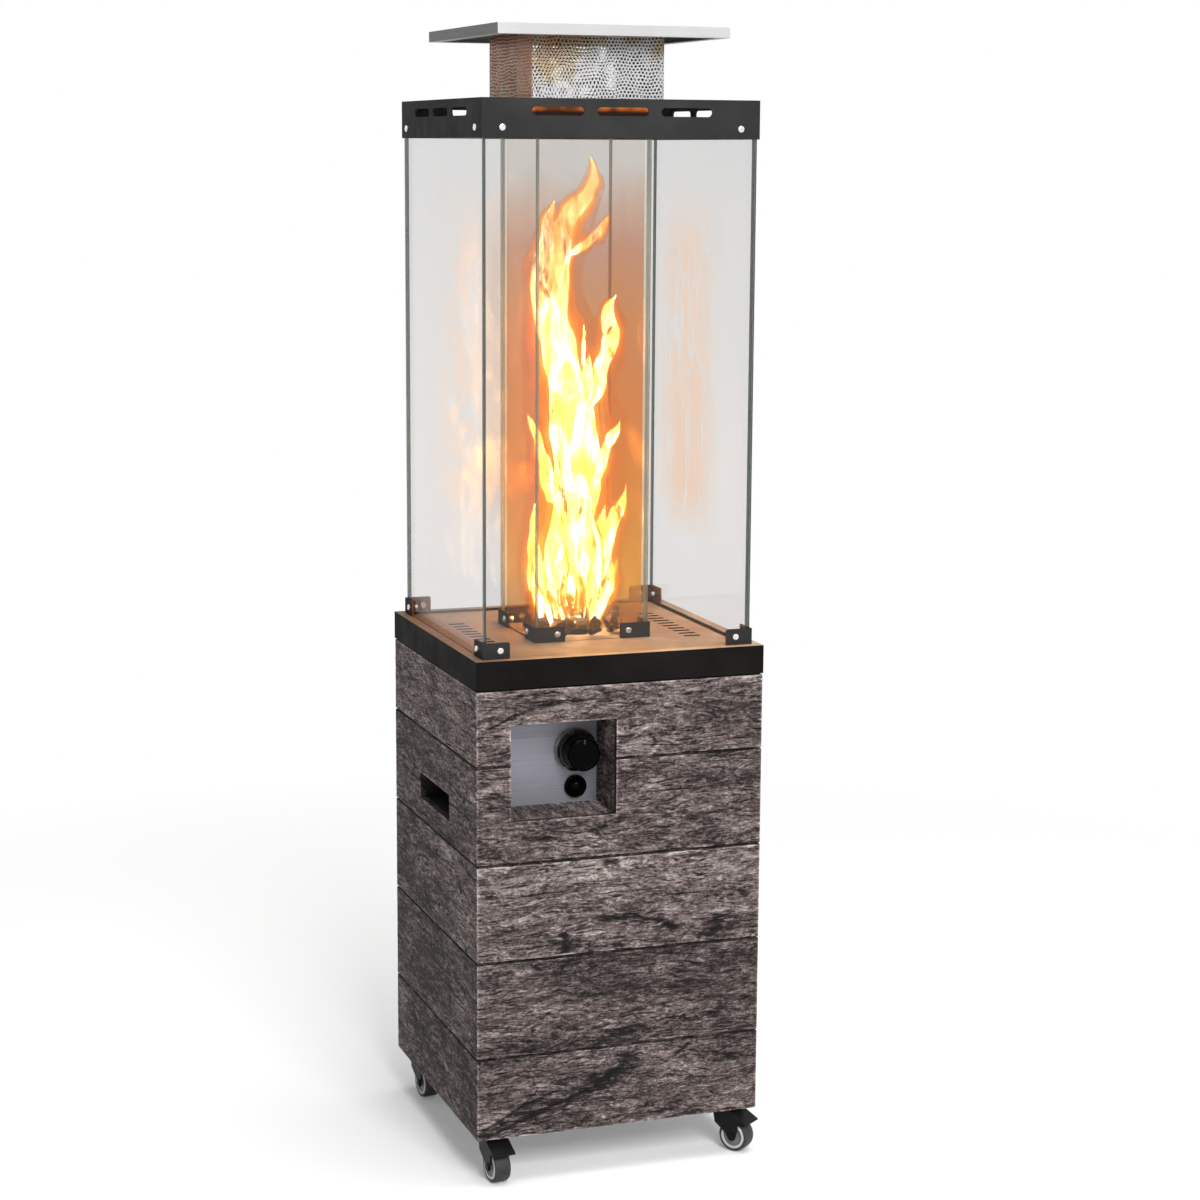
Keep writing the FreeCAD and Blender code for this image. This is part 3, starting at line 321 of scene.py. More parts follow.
def bronze_deck(name):
    """Bronze coat with fine specks, with painted shade that darkens it towards the left."""
    brown, bronze, pale = (0.34, 0.225, 0.135), (0.45, 0.31, 0.19), (0.60, 0.45, 0.29)
    shade = ramp(clouds(12, 6, 0.6), (0.3, brown), (0.5, bronze), (0.72, pale))
    shade = blend(ramp(clouds(300, 3), (0.55, 0.0), (0.75, 0.5)), shade, (0.21, 0.165, 0.13))
    # Painted shade, darker towards the left
    shade = blend(span(part(PLACE, 0), -0.05, -0.19), shade, (0.20, 0.125, 0.08))
    rub = ramp(clouds(40, 5), (0.3, 0.36), (0.7, 0.55))
    return coat(name, shade, rub, bump(clouds(320, 3), 0.12 * MM, 0.5), specular=0.04)


def gloss_coat(name, colour, roughness):
    rub = ramp(clouds(60), (0.35, roughness), (0.75, roughness + 0.08))
    return coat(name, blend(clouds(25), colour, scaled(colour, 1.6)), rub, specular=0.03)


def worn_rubber(name):
    shade = ramp(clouds(70, 5), (0.35, (0.010, 0.010, 0.010)), (0.75, (0.032, 0.031, 0.030)))
    return coat(name, shade, 0.62, bump(clouds(900, 3), 0.1 * MM, 0.6))


def moulded(name, colour, roughness, speck=0.8):
    shade = blend(clouds(45), scaled(colour, speck), colour)
    return coat(name, shade, roughness, bump(clouds(700, 2), 0.05 * MM, 0.4))


def cast_metal(name, colour, roughness):
    shade = blend(clouds(60, 5), scaled(colour, 0.6), colour)
    return coat(name, shade, roughness, bump(clouds(500), 0.2 * MM, 0.6), 1.0)


def stone_with_painted_glow(name):
    """Dark porous stone with a painted orange glow of the flame's light in its cracks near the burner."""
    cloud = clouds(50, 6, 0.65)
    shade = ramp(cloud, (0.35, (0.012, 0.008, 0.006)), (0.55, (0.050, 0.030, 0.022)), (0.75, (0.13, 0.075, 0.05)))
    cracks = ramp(clouds(85, 5, 0.6, 0.6), (0.55, 0.0), (0.68, 1.0))
    glow = blend(cracks, (0, 0, 0), (1.0, 0.24, 0.03))
    return coat(name, shade, 0.85, bump(cells(260) + cloud, 1.2 * MM, 0.9), glow=glow, strength=0.9)


def flame_in_glass(tint, spots):
    """Wisps of the mirrored flame, each round an upright line (x, y) of a pane. A calm one is an even veil."""
    wisp = ramp(clouds((30, 30, 8), 5, 0.6, 1.3), (0.38, 0.0), (0.48, 1.0))
    upright = ramp(span(HEIGHT, MIRROR_LOW, MIRROR_HIGH), (0.0, 0.0), (0.15, 1.0), (0.80, 0.8), (1.0, 0.0))
    for x, y, reach, calm, colour in spots:
        apart = vector("LENGTH", vector("SUBTRACT", LEVEL_PLACE, (x, y, 0)))
        share = span(apart, 0.3 * reach, reach, 1.0, 0.0) * upright
        tint = blend(share if calm else share * wisp, tint, colour)
    return tint


def pane_glass(name, flat, pale, edge, edge_share, low=None, spots=()):
    """Toughened glass. flat is the axis that the pane faces, and its cut edges show the colour of the glass."""
    tint = blend(ramp(clouds((9, 9, 3)), (0.35, 0.0), (0.8, 1.0)), pale, scaled(pale, 0.985))
    # low is a painted warm tint of the flame's light on the side panes, fading out towards the top of the tube
    if low:
        tint = blend(span(HEIGHT, TUBE_GLOW_TOP, PANE_GLOW_LOW), tint, low)
    through = see_through(flame_in_glass(tint, spots))
    gloss = Value("BsdfGlossy", {"Color": WHITE, "Roughness": 0.015})
    slant = Value("LayerWeight", {"Blend": 0.5}, "Facing")
    face = mixed(calc("POWER", slant, 5.0) * 0.3 + 0.020, through, gloss)
    shade = blend(clouds((240, 240, 5), 3), edge, scaled(edge, 2.2, 0.02))
    side = mixed(edge_share, through, principled(shade, 0.12))
    cut = calc("LESS_THAN", calc("ABSOLUTE", vector("DOT_PRODUCT", NORMAL, flat)), 0.97)
    return material(name, mixed(cut, face, side))


def flame_sheet(name, low_colour, high_colour, strength, cover, tint, ragged, foot, top):
    """A see-through layer of flame that tints what is behind it, with streaks that rise from foot and a fading top."""
    streak = clouds((46, 46, 13), 4, 0.6, 1.0) - span(HEIGHT, FLAME_FOOT + 2 * MM, foot, 0.13, 0.0)
    rise = span(HEIGHT, FLAME_FOOT, FLAME_TIP)
    fade = ramp(rise, (0.0, 0.9), (0.12, 1.0), (0.50, 1.0), (0.85, top), (1.0, 0.6 * top))
    share = ramp(streak, (0.5 - ragged, 0.0), (0.56, 1.0)) * fade
    fire = light(blend(rise, low_colour, high_colour), strength)
    return material(name, mixed(share * cover, see_through(blend(share, WHITE, tint)), fire))


def tube_glow_sheet(name):
    """Painted glow of the flame that fills the tube. It tints what is behind it, gold at the foot and grey-brown at the
    top.
    """
    rise = span(HEIGHT + (clouds((10, 10, 5), 3, 0.5, 0.6) - 0.5) * 0.12, FLAME_FOOT, TUBE_GLOW_TOP)
    tint = ramp(
        rise,
        (0.0, (0.90, 0.68, 0.46)),
        (0.10, (1.0, 0.77, 0.33)),
        (0.28, (1.0, 0.675, 0.26)),
        (0.50, (1.0, 0.66, 0.36)),
        (0.65, (0.965, 0.69, 0.46)),
        (0.76, (0.91, 0.70, 0.60)),
        (0.93, (0.963, 0.939, 0.926)),
    )
    glow = ramp(rise, (0.1, (1.0, 0.44, 0.03)), (0.35, (1.0, 0.34, 0.03)), (0.7, (0.70, 0.20, 0.07)))
    cover = ramp(rise, (0.0, 0.05), (0.10, 0.24), (0.40, 0.22), (0.76, 0.08), (0.93, 0.01))
    return material(name, mixed(cover, see_through(tint), light(glow)))


# Layers from the outside in: share of the full width, voxel in mm, then the looks: low colour, high colour, strength,
# cover, tint of what is behind, size of the gaps, height where the layer is whole, share left at the top
FLAME_LAYERS = {
    "flame_haze": (1.58, 4.4, (1.0, 0.34, 0.02), (1.0, 0.24, 0.02), 1.0, 0.15, (1.0, 0.86, 0.66), 0.12, 0.78, 0.8),
    "flame_orange": (1.18, 3.6, (1.0, 0.36, 0.02), (1.0, 0.30, 0.02), 1.7, 0.34, (1.0, 0.90, 0.70), 0.10, 0.79, 0.9),
    "flame_gold": (0.96, 3.2, (1.0, 0.54, 0.05), (1.0, 0.42, 0.03), 1.9, 0.42, (1.0, 0.96, 0.80), 0.09, 0.80, 0.8),
    "flame_yellow": (0.80, 3.0, (1.0, 0.78, 0.26), (1.0, 0.64, 0.15), 2.5, 0.55, (1.0, 0.99, 0.92), 0.08, 0.83, 0.5),
    "flame_white": (0.68, 2.6, (1.0, 0.97, 0.90), (1.0, 0.90, 0.65), 19.0, 0.92, (1.0, 1.0, 1.0), 0.10, 0.84, 0.07),
}

# Mirrored flames: x, y, reach, calm, colour
SIDE_SPOTS = [(0.175, 0.05, 0.135, False, (1.0, 0.865, 0.765))]
BACK_SPOTS = [(-0.100, 0.175, 0.060, False, (1.0, 0.905, 0.825)), (-0.056, 0.175, 0.034, True, (0.90, 0.79, 0.71))]
# Colours of the cut edges of the glass. The inner edges are paler and warmer than the outer: the glass's edge colour
# with painted flame light
OUTER_EDGE, INNER_EDGE_AND_GLOW = (0.012, 0.026, 0.016), (0.16, 0.15, 0.085)
INNER_CLEAR = (0.984, 0.988, 0.982)

FINISH = {
    "cladding_y": wood_finish("weathered_board_x", "X"),
    "cladding_x": wood_finish("weathered_board_y", "Y"),
    "plank_face": wood_finish("weathered_plank_face"),
    "recess_wood": wood_finish("recess_board", "Y", 0.0, 0.1),
    "deck_black": powder_coat("deck_band_coat", (0.0082, 0.0072, 0.0066), 0.40, 0.006),
    "black_metal": powder_coat("black_powder_coat", (0.029, 0.0285, 0.0285), 0.42, 0.008),
    # A dark brown coat, warmer than the black one
    "dark_bracket": powder_coat("warm_dark_coat", (0.026, 0.018, 0.014), 0.42, 0.04),
    "lit_coat": powder_coat("flame_lit_coat", (0.150, 0.058, 0.030), 0.40, 0.04),
    "slot_wall": powder_coat("slot_wall_painted_shade", (0.016, 0.010, 0.007), 0.60, 0.05),
    "deck_bronze": bronze_deck("bronze_deck_coat"),
    "top_sheet": brushed_steel("brushed_top_sheet", (0.575, 0.575, 0.57), "X", 0.42, 0.30, 0.05),
    "top_side_shade": brushed_steel("cross_brushed_lip_painted_shade", (0.155, 0.145, 0.135), "Y", 0.50, 0.25, 0.05),
    "chimney_steel": heat_tinted_steel("heat_tinted_screen"),
    "panel_sheet": brushed_steel("grey_control_sheet", (0.355, 0.35, 0.395), "X", 0.56, 0.12),
    "collar_painted_glow": collar_painted_glow("collar_painted_glow"),
    "plated_sheet": plated_steel("zinc_plate", (0.55, 0.55, 0.56)),
    "screw_steel": plated_steel("bright_screw", (0.82, 0.82, 0.82), 0.22),
    "socket_shade": moulded("screw_socket_painted_shade", (0.02, 0.02, 0.02), 0.5),
    "knob_black": gloss_coat("gloss_black_knob", (0.001, 0.001, 0.001), 0.12),
    "skirt_metal": brushed_steel("dark_skirt_metal", (0.36, 0.355, 0.33), "Z", 0.12, 0.15),
    "knob_chrome": plated_steel("bright_knob_rim", (0.80, 0.80, 0.82), 0.14),
    "dark_plastic": moulded("matt_dark_plastic", (0.028, 0.028, 0.030), 0.5),
    "valve_brass": cast_metal("valve_brass", (0.62, 0.46, 0.20), 0.34),
    "pipe_aluminium": brushed_steel("pipe_aluminium", (0.66, 0.66, 0.67), "Z", 0.34),
    "burner_iron": cast_metal("burner_iron", (0.10, 0.09, 0.085), 0.6),
    "lava_stone": stone_with_painted_glow("lava_stone_painted_glow"),
    "caster_black": powder_coat("caster_black", (0.0065, 0.0065, 0.0065), 0.30, 0.08),
    "caster_wheel": worn_rubber("caster_tyre"),
    "wheel_rim": moulded("light_wheel_rim", (0.60, 0.59, 0.55), 0.28, 0.86),
    "wheel_dish": moulded("grey_wheel_dish", (0.16, 0.17, 0.19), 0.34),
    "outer_glass_x": pane_glass(
        "outer_pane_sides", (1, 0, 0), (0.917, 0.915, 0.914), OUTER_EDGE, 0.92, (0.960, 0.950, 0.944), SIDE_SPOTS
    ),
    "outer_glass_y": pane_glass(
        "outer_pane_front_back", (0, 1, 0), (0.916, 0.915, 0.914), OUTER_EDGE, 0.92, None, BACK_SPOTS
    ),
    "inner_glass_x": pane_glass("inner_pane_sides", (1, 0, 0), INNER_CLEAR, INNER_EDGE_AND_GLOW, 0.78, (0.95, 0.85, 0.70)),
    "inner_glass_y": pane_glass("inner_pane_front_back", (0, 1, 0), INNER_CLEAR, INNER_EDGE_AND_GLOW, 0.78),
    "painted_tube_glow": tube_glow_sheet("painted_tube_glow"),
}
for layer_name, (_, _, *layer_looks) in FLAME_LAYERS.items():
    FINISH[layer_name] = flame_sheet(layer_name, *layer_looks)

# The finish of nodes for which their slot alone doesn't say it
NODE_FINISH = {
    "rear_door": "cladding_y",
    "recess_liner": "recess_wood",
    "control_panel": "panel_sheet",
    "chimney_screen": "chimney_steel",
    "top_plate": "top_sheet",
    "deck_frame": "deck_black",
    "inner_collar": "collar_painted_glow",
    "hand_cups": "black_metal",
}
SIDES = {"front": "y", "back": "y", "left": "x", "right": "x"}
for side_name, side_axis in SIDES.items():
    for start in ("cladding_", "outer_glass_", "inner_glass_"):
        NODE_FINISH[start + side_name] = start + side_axis


def slot_of(node):
    return next(part["material_slot"] for part in frame["record"]["subparts"] if part["node"] == node)


def body_of(node):
    return next(body for body, nodes in frame["record"]["behaviour"]["bodies"].items() if node in nodes)


def finish_of(node):
    return NODE_FINISH.get(node, slot_of(node))


# Pieces


def new_piece(name, mesh, body, nodes=(), finishes=()):
    for finish in finishes:
        mesh.materials.append(FINISH[finish])
    piece = new_object(name, mesh)
    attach(piece, body)
    if nodes:
        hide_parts(*nodes)


def new_object(name, data):
    thing = bpy.data.objects.new(name, data)
    bpy.context.scene.collection.objects.link(thing)
    return thing


def mesh_from(work, mesh=None):
    mesh = mesh or bpy.data.meshes.new("mesh")
    work.to_mesh(mesh)
    work.free()
    return mesh


def applied_mesh(helper):
    """The mesh of a helper object with its modifiers. The helper goes."""
    bpy.context.view_layer.update()
    result = helper.evaluated_get(bpy.context.evaluated_depsgraph_get())
    mesh = bpy.data.meshes.new_from_object(result)
    bpy.data.objects.remove(helper, do_unlink=True)
    return mesh


def mark_sharp(work, degrees=SHARP):
    for face in work.faces:
        face.smooth = True
    for edge in work.edges:
        edge.smooth = len(edge.link_faces) == 2 and edge.calc_face_angle(0) < math.radians(degrees)


def finished_mesh(work, degrees=SHARP):
    bmesh.ops.recalc_face_normals(work, faces=work.faces)
    mark_sharp(work, degrees)
    return mesh_from(work)


def quarter_turn(quarter):
    return Matrix.Rotation(math.radians(90 * quarter), 3, "Z")


def cleaned_copy(node, angle):
    """A copy of a CAD node's mesh, and a bmesh of it that is rid of its triangulation."""
    mesh = frame["nodes"][node].data.copy()
    mesh.materials.clear()
    work = bmesh.new()
    work.from_mesh(mesh)
    bmesh.ops.remove_doubles(work, verts=work.verts, dist=SAME)
    bmesh.ops.dissolve_limit(work, angle_limit=math.radians(angle), verts=work.verts, edges=work.edges)
    return mesh, work


def soften(node, width, segments=2):
    """The CAD node as one clean mesh with small rounded edges."""
    mesh, work = cleaned_copy(node, 0.8)
    mark_sharp(work)
    thing = new_object(node + "_soft", mesh_from(work, mesh))
    bevel = thing.modifiers.new("edges", "BEVEL")
    bevel.width = width
    bevel.segments = segments
    bevel.limit_method = "ANGLE"
    bevel.angle_limit = math.radians(SHARP)
    bevel.harden_normals = True
    bevel.use_clamp_overlap = True
    new_piece(node + "_edges", applied_mesh(thing), body_of(node), (node,), (finish_of(node),))


def add_finish(node, finish, picked):
    """Gives the picked faces of a softened node a finish of their own."""
    mesh = bpy.data.objects[node + "_edges"].data
    mesh.materials.append(FINISH[finish])
    for face in mesh.polygons:
        if picked(face):
            face.material_index = 1


def skin(work, rings, closed=True):
    """Faces between rows of points."""
    for low, high in zip(rings, rings[1:]):
        for index in range(len(low) if closed else len(low) - 1):
            after = (index + 1) % len(low)
            work.faces.new((low[index], low[after], high[after], high[index]))


def turned_mesh(profile, base, axis, sides=64, shape=None, pick=None, degrees=SHARP):
    """Spins points (radius, distance along axis) in mm round a level axis.

    shape may change a radius by turn and step, and pick says which finish a step has.
    """
    work = bmesh.new()
    other = axis.cross(Z)
    rings = []
    for step, (radius, along) in enumerate(profile):
        radius, along = radius * MM, along * MM
        centre = base + axis * along
        if radius < SAME:
            rings.append([work.verts.new(centre)])
            continue
        ring = []
        for index in range(sides):
            turn = 2 * math.pi * index / sides
            reach = shape(turn, step, radius) if shape else radius
            ring.append(work.verts.new(centre + Z * (reach * math.cos(turn)) + other * (reach * math.sin(turn))))
        rings.append(ring)
    for step, (low, high) in enumerate(zip(rings, rings[1:])):
        for index in range(sides):
            after = (index + 1) % sides
            corners = [low[index % len(low)], high[index % len(high)], high[after % len(high)], low[after % len(low)]]
            corners = [corner for place, corner in enumerate(corners) if corner not in corners[:place]]
            work.faces.new(corners).material_index = pick(step) if pick else 0
    bmesh.ops.remove_doubles(work, verts=work.verts, dist=SAME)
    return finished_mesh(work, degrees)


# Plank faces of the cladding

# How light each plank is, from the lowest up, for the front, right, back and left side. The left side is darker as
# painted shade, most at the bottom, and the front's two lowest planks are darker too.
ROW_TONES = [
    (-0.60, -0.47, 0.15, 0.05, 0.10),
    (-0.2, -0.1, 0.1, -0.1, 0.0),
    (0.0, -0.2, 0.1, -0.1, 0.1),
    (-0.92, -0.76, -0.52, -0.36, -0.28),
]

# Splits and knots of the front in mm: width, depth, points (x, z). The wide shallow ones, 7 mm wide or more at depth
# 0.5 or less, sink a soft valley round a split or knot and darken it as painted shade.
LONG_SPLIT = ((11, 163), (-4, 145), (-29, 131), (-73, 114), (-113, 102), (-152, 88), (-191, 72))
FRONT_MARKS = [
    (3.2, 1.0, LONG_SPLIT),
    (13.0, 0.45, LONG_SPLIT),
    (8.0, 0.9, ((15, 166), (4, 150), (-20, 133), (-44, 124))),
    (1.7, 0.9, ((-92, 129), (-123, 117), (-147, 110), (-174, 94), (-201, 81))),
    (1.2, 0.6, ((-191, 179), (-147, 184), (-98, 183), (-49, 179), (-9, 172), (10, 162))),
    (1.0, 0.5, ((-186, 161), (-157, 163), (-128, 150), (-123, 130), (-142, 115))),
    (2.2, 1.0, ((-26, 376), (-6, 369), (14, 376), (39, 365), (62, 360), (79, 349))),
    (7.0, 0.5, ((-20, 372), (14, 372), (48, 361), (79, 352))),
    (4.0, 0.9, ((50, 361), (60, 359), (68, 357))),
    (3.4, 1.0, ((-83, 355), (-81, 343), (-82, 329))),
    (9.0, 0.5, ((-90, 342), (-76, 339))),
    (5.0, 0.9, ((152, 350), (145, 342), (139, 333))),
    (11.0, 0.5, ((154, 350), (138, 334))),
    (2.8, 0.9, ((-9, 331), (-3, 334))),
    (4.0, 0.9, ((-19, 451), (-8, 450))),
    (5.0, 0.9, ((-10, 201), (6, 203), (16, 203))),
    (10.0, 0.45, ((-14, 199), (22, 203))),
    (5.0, 0.8, ((142, 215), (154, 222))),
    (3.0, 0.9, ((148, 156), (172, 152))),
    (3.0, 0.8, ((105, 174), (88, 163))),
    (1.4, 0.8, ((80, 684), (120, 684), (150, 684), (175, 675), (206, 671))),
    (1.8, 0.8, ((-190, 653), (-152, 669), (-109, 682), (-61, 685))),
    (2.6, 0.8, ((-140, 496), (-123, 493), (-107, 493))),
    (2.4, 0.8, ((-190, 408), (-167, 403))),
    (1.3, 0.7, ((41, 630), (51, 618), (42, 609))),
]


def random_marks(seed):
    """Splits and knots for a side that the picture doesn't show."""
    rng = random.Random(seed)
    marks = []
    for count, x_range, z_range, turns, x_step, z_step, widths, depths in (
        (16, (-180, 180), (85, 690), (1, 4), (10, 30), (-8, 8), (1.0, 2.8), (0.6, 1.0)),
        (14, (-200, 60), (85, 600), (4, 7), (18, 34), (-5, 3), (0.9, 1.5), (0.7, 1.0)),
    ):
        for _ in range(count):
            x, z = rng.uniform(*x_range), rng.uniform(*z_range)
            points = [(x, z)]
            for _ in range(rng.randint(*turns)):
                x += rng.uniform(*x_step)
                z += rng.uniform(*z_step)
                points.append((x, z))
            marks.append((rng.uniform(*widths), rng.uniform(*depths), points))
    for _ in range(5):
        x, z = rng.uniform(-180, 180), rng.uniform(90, 690)
        knot = ((x - 5, z + 4), (x + rng.uniform(2, 9), z - 4))
        # Each knot also gets a wide shallow mark round it: a soft valley, darkened as painted shade
        marks += [(rng.uniform(3, 5), 1.0, knot), (rng.uniform(9, 13), 0.5, knot)]
    return marks


def noise_map(x, z, seed):
    places = zip(x.ravel().tolist(), z.ravel().tolist())
    return np.array([noise.noise((across, up, seed)) for across, up in places]).reshape(x.shape)


def smooth_step(share):
    share = np.clip(share, 0, 1)
    return share * share * (3 - 2 * share)


def hollow_map(x, z, marks):
    """How deep splits and knots are at places in mm, from 0 to 1. They smear along the grain."""
    x, z = x + 1.5 * noise_map(x * 0.3, z * 0.5, 9.0), z + 1.5 * noise_map(x * 0.3, z * 0.5, 2.0)
    wave = 2.2 * noise_map(x * 0.09, z * 0.16, 4.0)
    smear, reach_z = 0.6, 28
    deepest = np.zeros_like(x)
    for width, depth, points in marks:
        for start, end in zip(points, points[1:]):
            near = (z > min(start[1], end[1]) - reach_z) & (z < max(start[1], end[1]) + reach_z)
            dx, dz = (end[0] - start[0]) * smear, end[1] - start[1]
            from_x, from_z = (x[near] - start[0]) * smear, z[near] + wave[near] - start[1]
            share = np.clip((from_x * dx + from_z * dz) / (dx * dx + dz * dz), 0, 1)
            reach = np.hypot(from_x - share * dx, from_z - share * dz) / (1.8 * width)
            deepest[near] = np.maximum(deepest[near], depth * (1 - reach))
    return deepest


def ticks(breaks, step):
    """Places over the stretches between breaks, close together near each break."""
    rim = [0, 0.0005, 0.0012, 0.0022, 0.0036]
    places = [breaks[0]]
    for low, high in zip(breaks, breaks[1:]):
        count = max(1, round((high - low - 2 * rim[-1]) / step))
        inner = np.linspace(low + rim[-1], high - rim[-1], count + 1)
        places += [low + place for place in rim[1:-1]] + list(inner) + [high - place for place in reversed(rim[:-1])]
    return np.array(places)


def plank_faces(name, quarter, reach, levels, marks, body, hole=None, step=2.8 * MM):
    """Worn faces of the planks of one side. hole is (left, right, low, high)."""
    edges = [levels[0]] + [place for seam in SEAMS for place in (seam - SEAM_HALF, seam + SEAM_HALF)] + [levels[1]]
    turn = np.array(quarter_turn(quarter)).T
    verts, faces, grain, hollows, tones = [], [], [], [], []
    for row, (low, high) in enumerate(zip(edges[::2], edges[1::2])):
        seed = quarter * 7.3 + row * 3.1
        x_breaks, z_breaks = [-reach, reach], [low, high]
        if hole and hole[2] < high and hole[3] > low:
            x_breaks[1:1] = hole[:2]
            z_breaks[1:1] = [level for level in hole[2:] if low + 8 * MM < level < high - 8 * MM]
        x, z = np.meshgrid(ticks(x_breaks, step), ticks(z_breaks, step * 0.9))
        margin = np.minimum.reduce([x + reach, reach - x, z - low, high - z])
        open_cells = np.zeros(x.shape, bool)
        if hole:
            left, right, bottom, top = hole
            aside = np.maximum(0, np.maximum(left - x, x - right))
            above = np.maximum(0, np.maximum(bottom - z, z - top))
            margin = np.minimum(margin, np.hypot(aside, above))
            open_cells = (x > left - MM / 9) & (x < right - MM / 9) & (z > bottom - MM / 9) & (z < top - MM / 9)
        chip = 1 + 1.6 * np.maximum(0, noise_map(x * 55, z * 55, seed))
        hollow = hollow_map(x * 1000, z * 1000, marks)
        seam = np.min([abs(z - level) for level in SEAMS], axis=0) - SEAM_HALF
        hollow = np.maximum(hollow, 1.4 - seam / (0.9 * MM * chip))
        ridge = noise_map(x * 16 + seed, z * 120, seed) + 0.5 * noise_map(x * 36, z * 260 + seed, seed)
        nearest = np.clip(np.rint((z - SEAMS[0]) / (SEAMS[1] - SEAMS[0])), 0, 3)
        wander = noise_map(x * 22, nearest * 5.3 + quarter * 3.7, 0.0) * (1 - smooth_step(seam / (9 * MM)))
        proud = (0.12 + (0.50 + 0.25 * ridge) * (1 - np.clip(hollow, 0, 1))) * MM
        out = proud * smooth_step(margin / (1.9 * MM * chip)) + 0.01 * MM
        out -= 0.4 * MM * (1 - smooth_step(seam / (0.5 * MM)))
        # Plank edges are lighter: partly wear, partly painted highlight
        worn_edge_and_highlight = 0.5 * (1 - smooth_step(margin / (3.5 * MM)))
        tone = ROW_TONES[quarter][row] + 0.6 * noise.noise((seed * 3.7, 1.3, 0.4)) + 2.4 * worn_edge_and_highlight
        first = len(verts)
        flat = np.stack([x, -BOARD_FACE - out, z + 0.9 * MM * wander], -1).reshape(-1, 3)
        verts.extend((flat @ turn).tolist())
        hollows.extend(np.clip(hollow, 0, 1).ravel().tolist())
        tones.extend(tone.ravel().tolist())
        grain.extend(np.stack([x + quarter * 1.37 + row * 0.731, z + row * 2.17], -1).reshape(-1, 2).tolist())
        rows, columns = x.shape
        for j in range(rows - 1):
            for i in range(columns - 1):
                if not open_cells[j, i]:
                    corner = first + j * columns + i
                    faces.append((corner, corner + 1, corner + columns + 1, corner + columns))
    mesh = bpy.data.meshes.new(name)
    mesh.from_pydata(verts, [], faces)
    mesh.polygons.foreach_set("use_smooth", [True] * len(faces))
    spread = mesh.uv_layers.new(name="grain")
    spread.data.foreach_set("uv", np.array(grain)[np.array(faces).ravel()].ravel())
    for label, values in (("hollow", hollows), ("tone", tones)):
        mesh.attributes.new(label, "FLOAT", "POINT").data.foreach_set("value", values)
    work = bmesh.new()
    work.from_mesh(mesh)
    loose = [vert for vert in work.verts if not vert.link_faces]
    bmesh.ops.delete(work, geom=loose, context="VERTS")
    new_piece(name, mesh_from(work, mesh), body, (), ("plank_face",))


def clad_cabinet():
    recess, grip, doorway = (
        tuple(value * MM for value in hole)
        for hole in ((-160.5, -7.5, 519.5, 654.5), (-75, 75, 492, 530), (-161.5, 161.5, 125.5, 658.5))
    )
    whole = (BOARD_LOW, BOARD_HIGH)
    plank_faces("planks_front", 0, BOARD_FACE, whole, FRONT_MARKS, "cabinet", recess, 2.3 * MM)
    plank_faces("planks_left", 3, BOARD_FACE, whole, random_marks(11), "cabinet", grip)
    plank_faces("planks_right", 1, BOARD_FACE, whole, random_marks(23), "cabinet", grip)
    plank_faces("planks_back", 2, BOARD_FACE, whole, random_marks(37), "cabinet", doorway)
    plank_faces("planks_door", 2, 160 * MM, (127 * MM, 657 * MM), random_marks(37), "rear_door")


# Repeats made with geometry nodes

GIVEN = Value("NodeGroupInput")
SOCKETS = {float: "NodeSocketFloat", int: "NodeSocketInt", bpy.types.Material: "NodeSocketMaterial"}


def extruded(shape, where, height, apart=False):
    """The shape, and where its raised faces are."""
    inputs = {"Mesh": shape, "Selection": where, "Offset Scale": height, "Individual": apart}
    raised = Value("GeometryNodeExtrudeMesh", inputs)
    return raised, raised.take("Top")


def resized(shape, where, scale):
    return Value("GeometryNodeScaleElements", {"Geometry": shape, "Selection": where, "Scale": scale})


def painted(shape, finish, where=True):
    return Value("GeometryNodeSetMaterial", {"Geometry": shape, "Selection": where, "Material": GIVEN.take(finish)})


def repeated(name, values, shape, axis, points, facings, thickness=0.0):
    """Puts the shape on each point, with its axis along the facing, by a tree that has the values as named inputs."""
    facing = Value("GeometryNodeInputNamedAttribute", {"Name": "facing"}, data_type="FLOAT_VECTOR")
    turn = Value("FunctionNodeAlignRotationToVector", {"Vector": facing}, axis=axis)
    placed = Value("GeometryNodeInstanceOnPoints", {"Points": GIVEN, "Instance": shape, "Rotation": turn})
    tree = bpy.data.node_groups.new(name, "GeometryNodeTree")
    tree.is_modifier = True
    new_socket = tree.interface.new_socket
    new_socket(name="Geometry", in_out="INPUT", socket_type="NodeSocketGeometry")
    keys = [
        new_socket(name=label, in_out="INPUT", socket_type=SOCKETS[type(value)]).identifier
        for label, value in values.items()
    ]
    new_socket(name="Geometry", in_out="OUTPUT", socket_type="NodeSocketGeometry")
    fill(tree, Value("NodeGroupOutput", {0: Value("GeometryNodeRealizeInstances", {"Geometry": placed})}), {})
    mesh = bpy.data.meshes.new(name)
    mesh.from_pydata([tuple(point) for point in points], [], [])
    layer = mesh.attributes.new("facing", "FLOAT_VECTOR", "POINT")
    for entry, facing in zip(layer.data, facings):
        entry.vector = facing
    thing = new_object(name + "_points", mesh)
    modifier = thing.modifiers.new("repeat", "NODES")
    modifier.node_group = tree
    for key, value in zip(keys, values.values()):
        modifier[key] = value
    if thickness:
        wall = thing.modifiers.new("wall", "SOLIDIFY")
        wall.thickness = thickness
        wall.offset = 0
    return applied_mesh(thing)


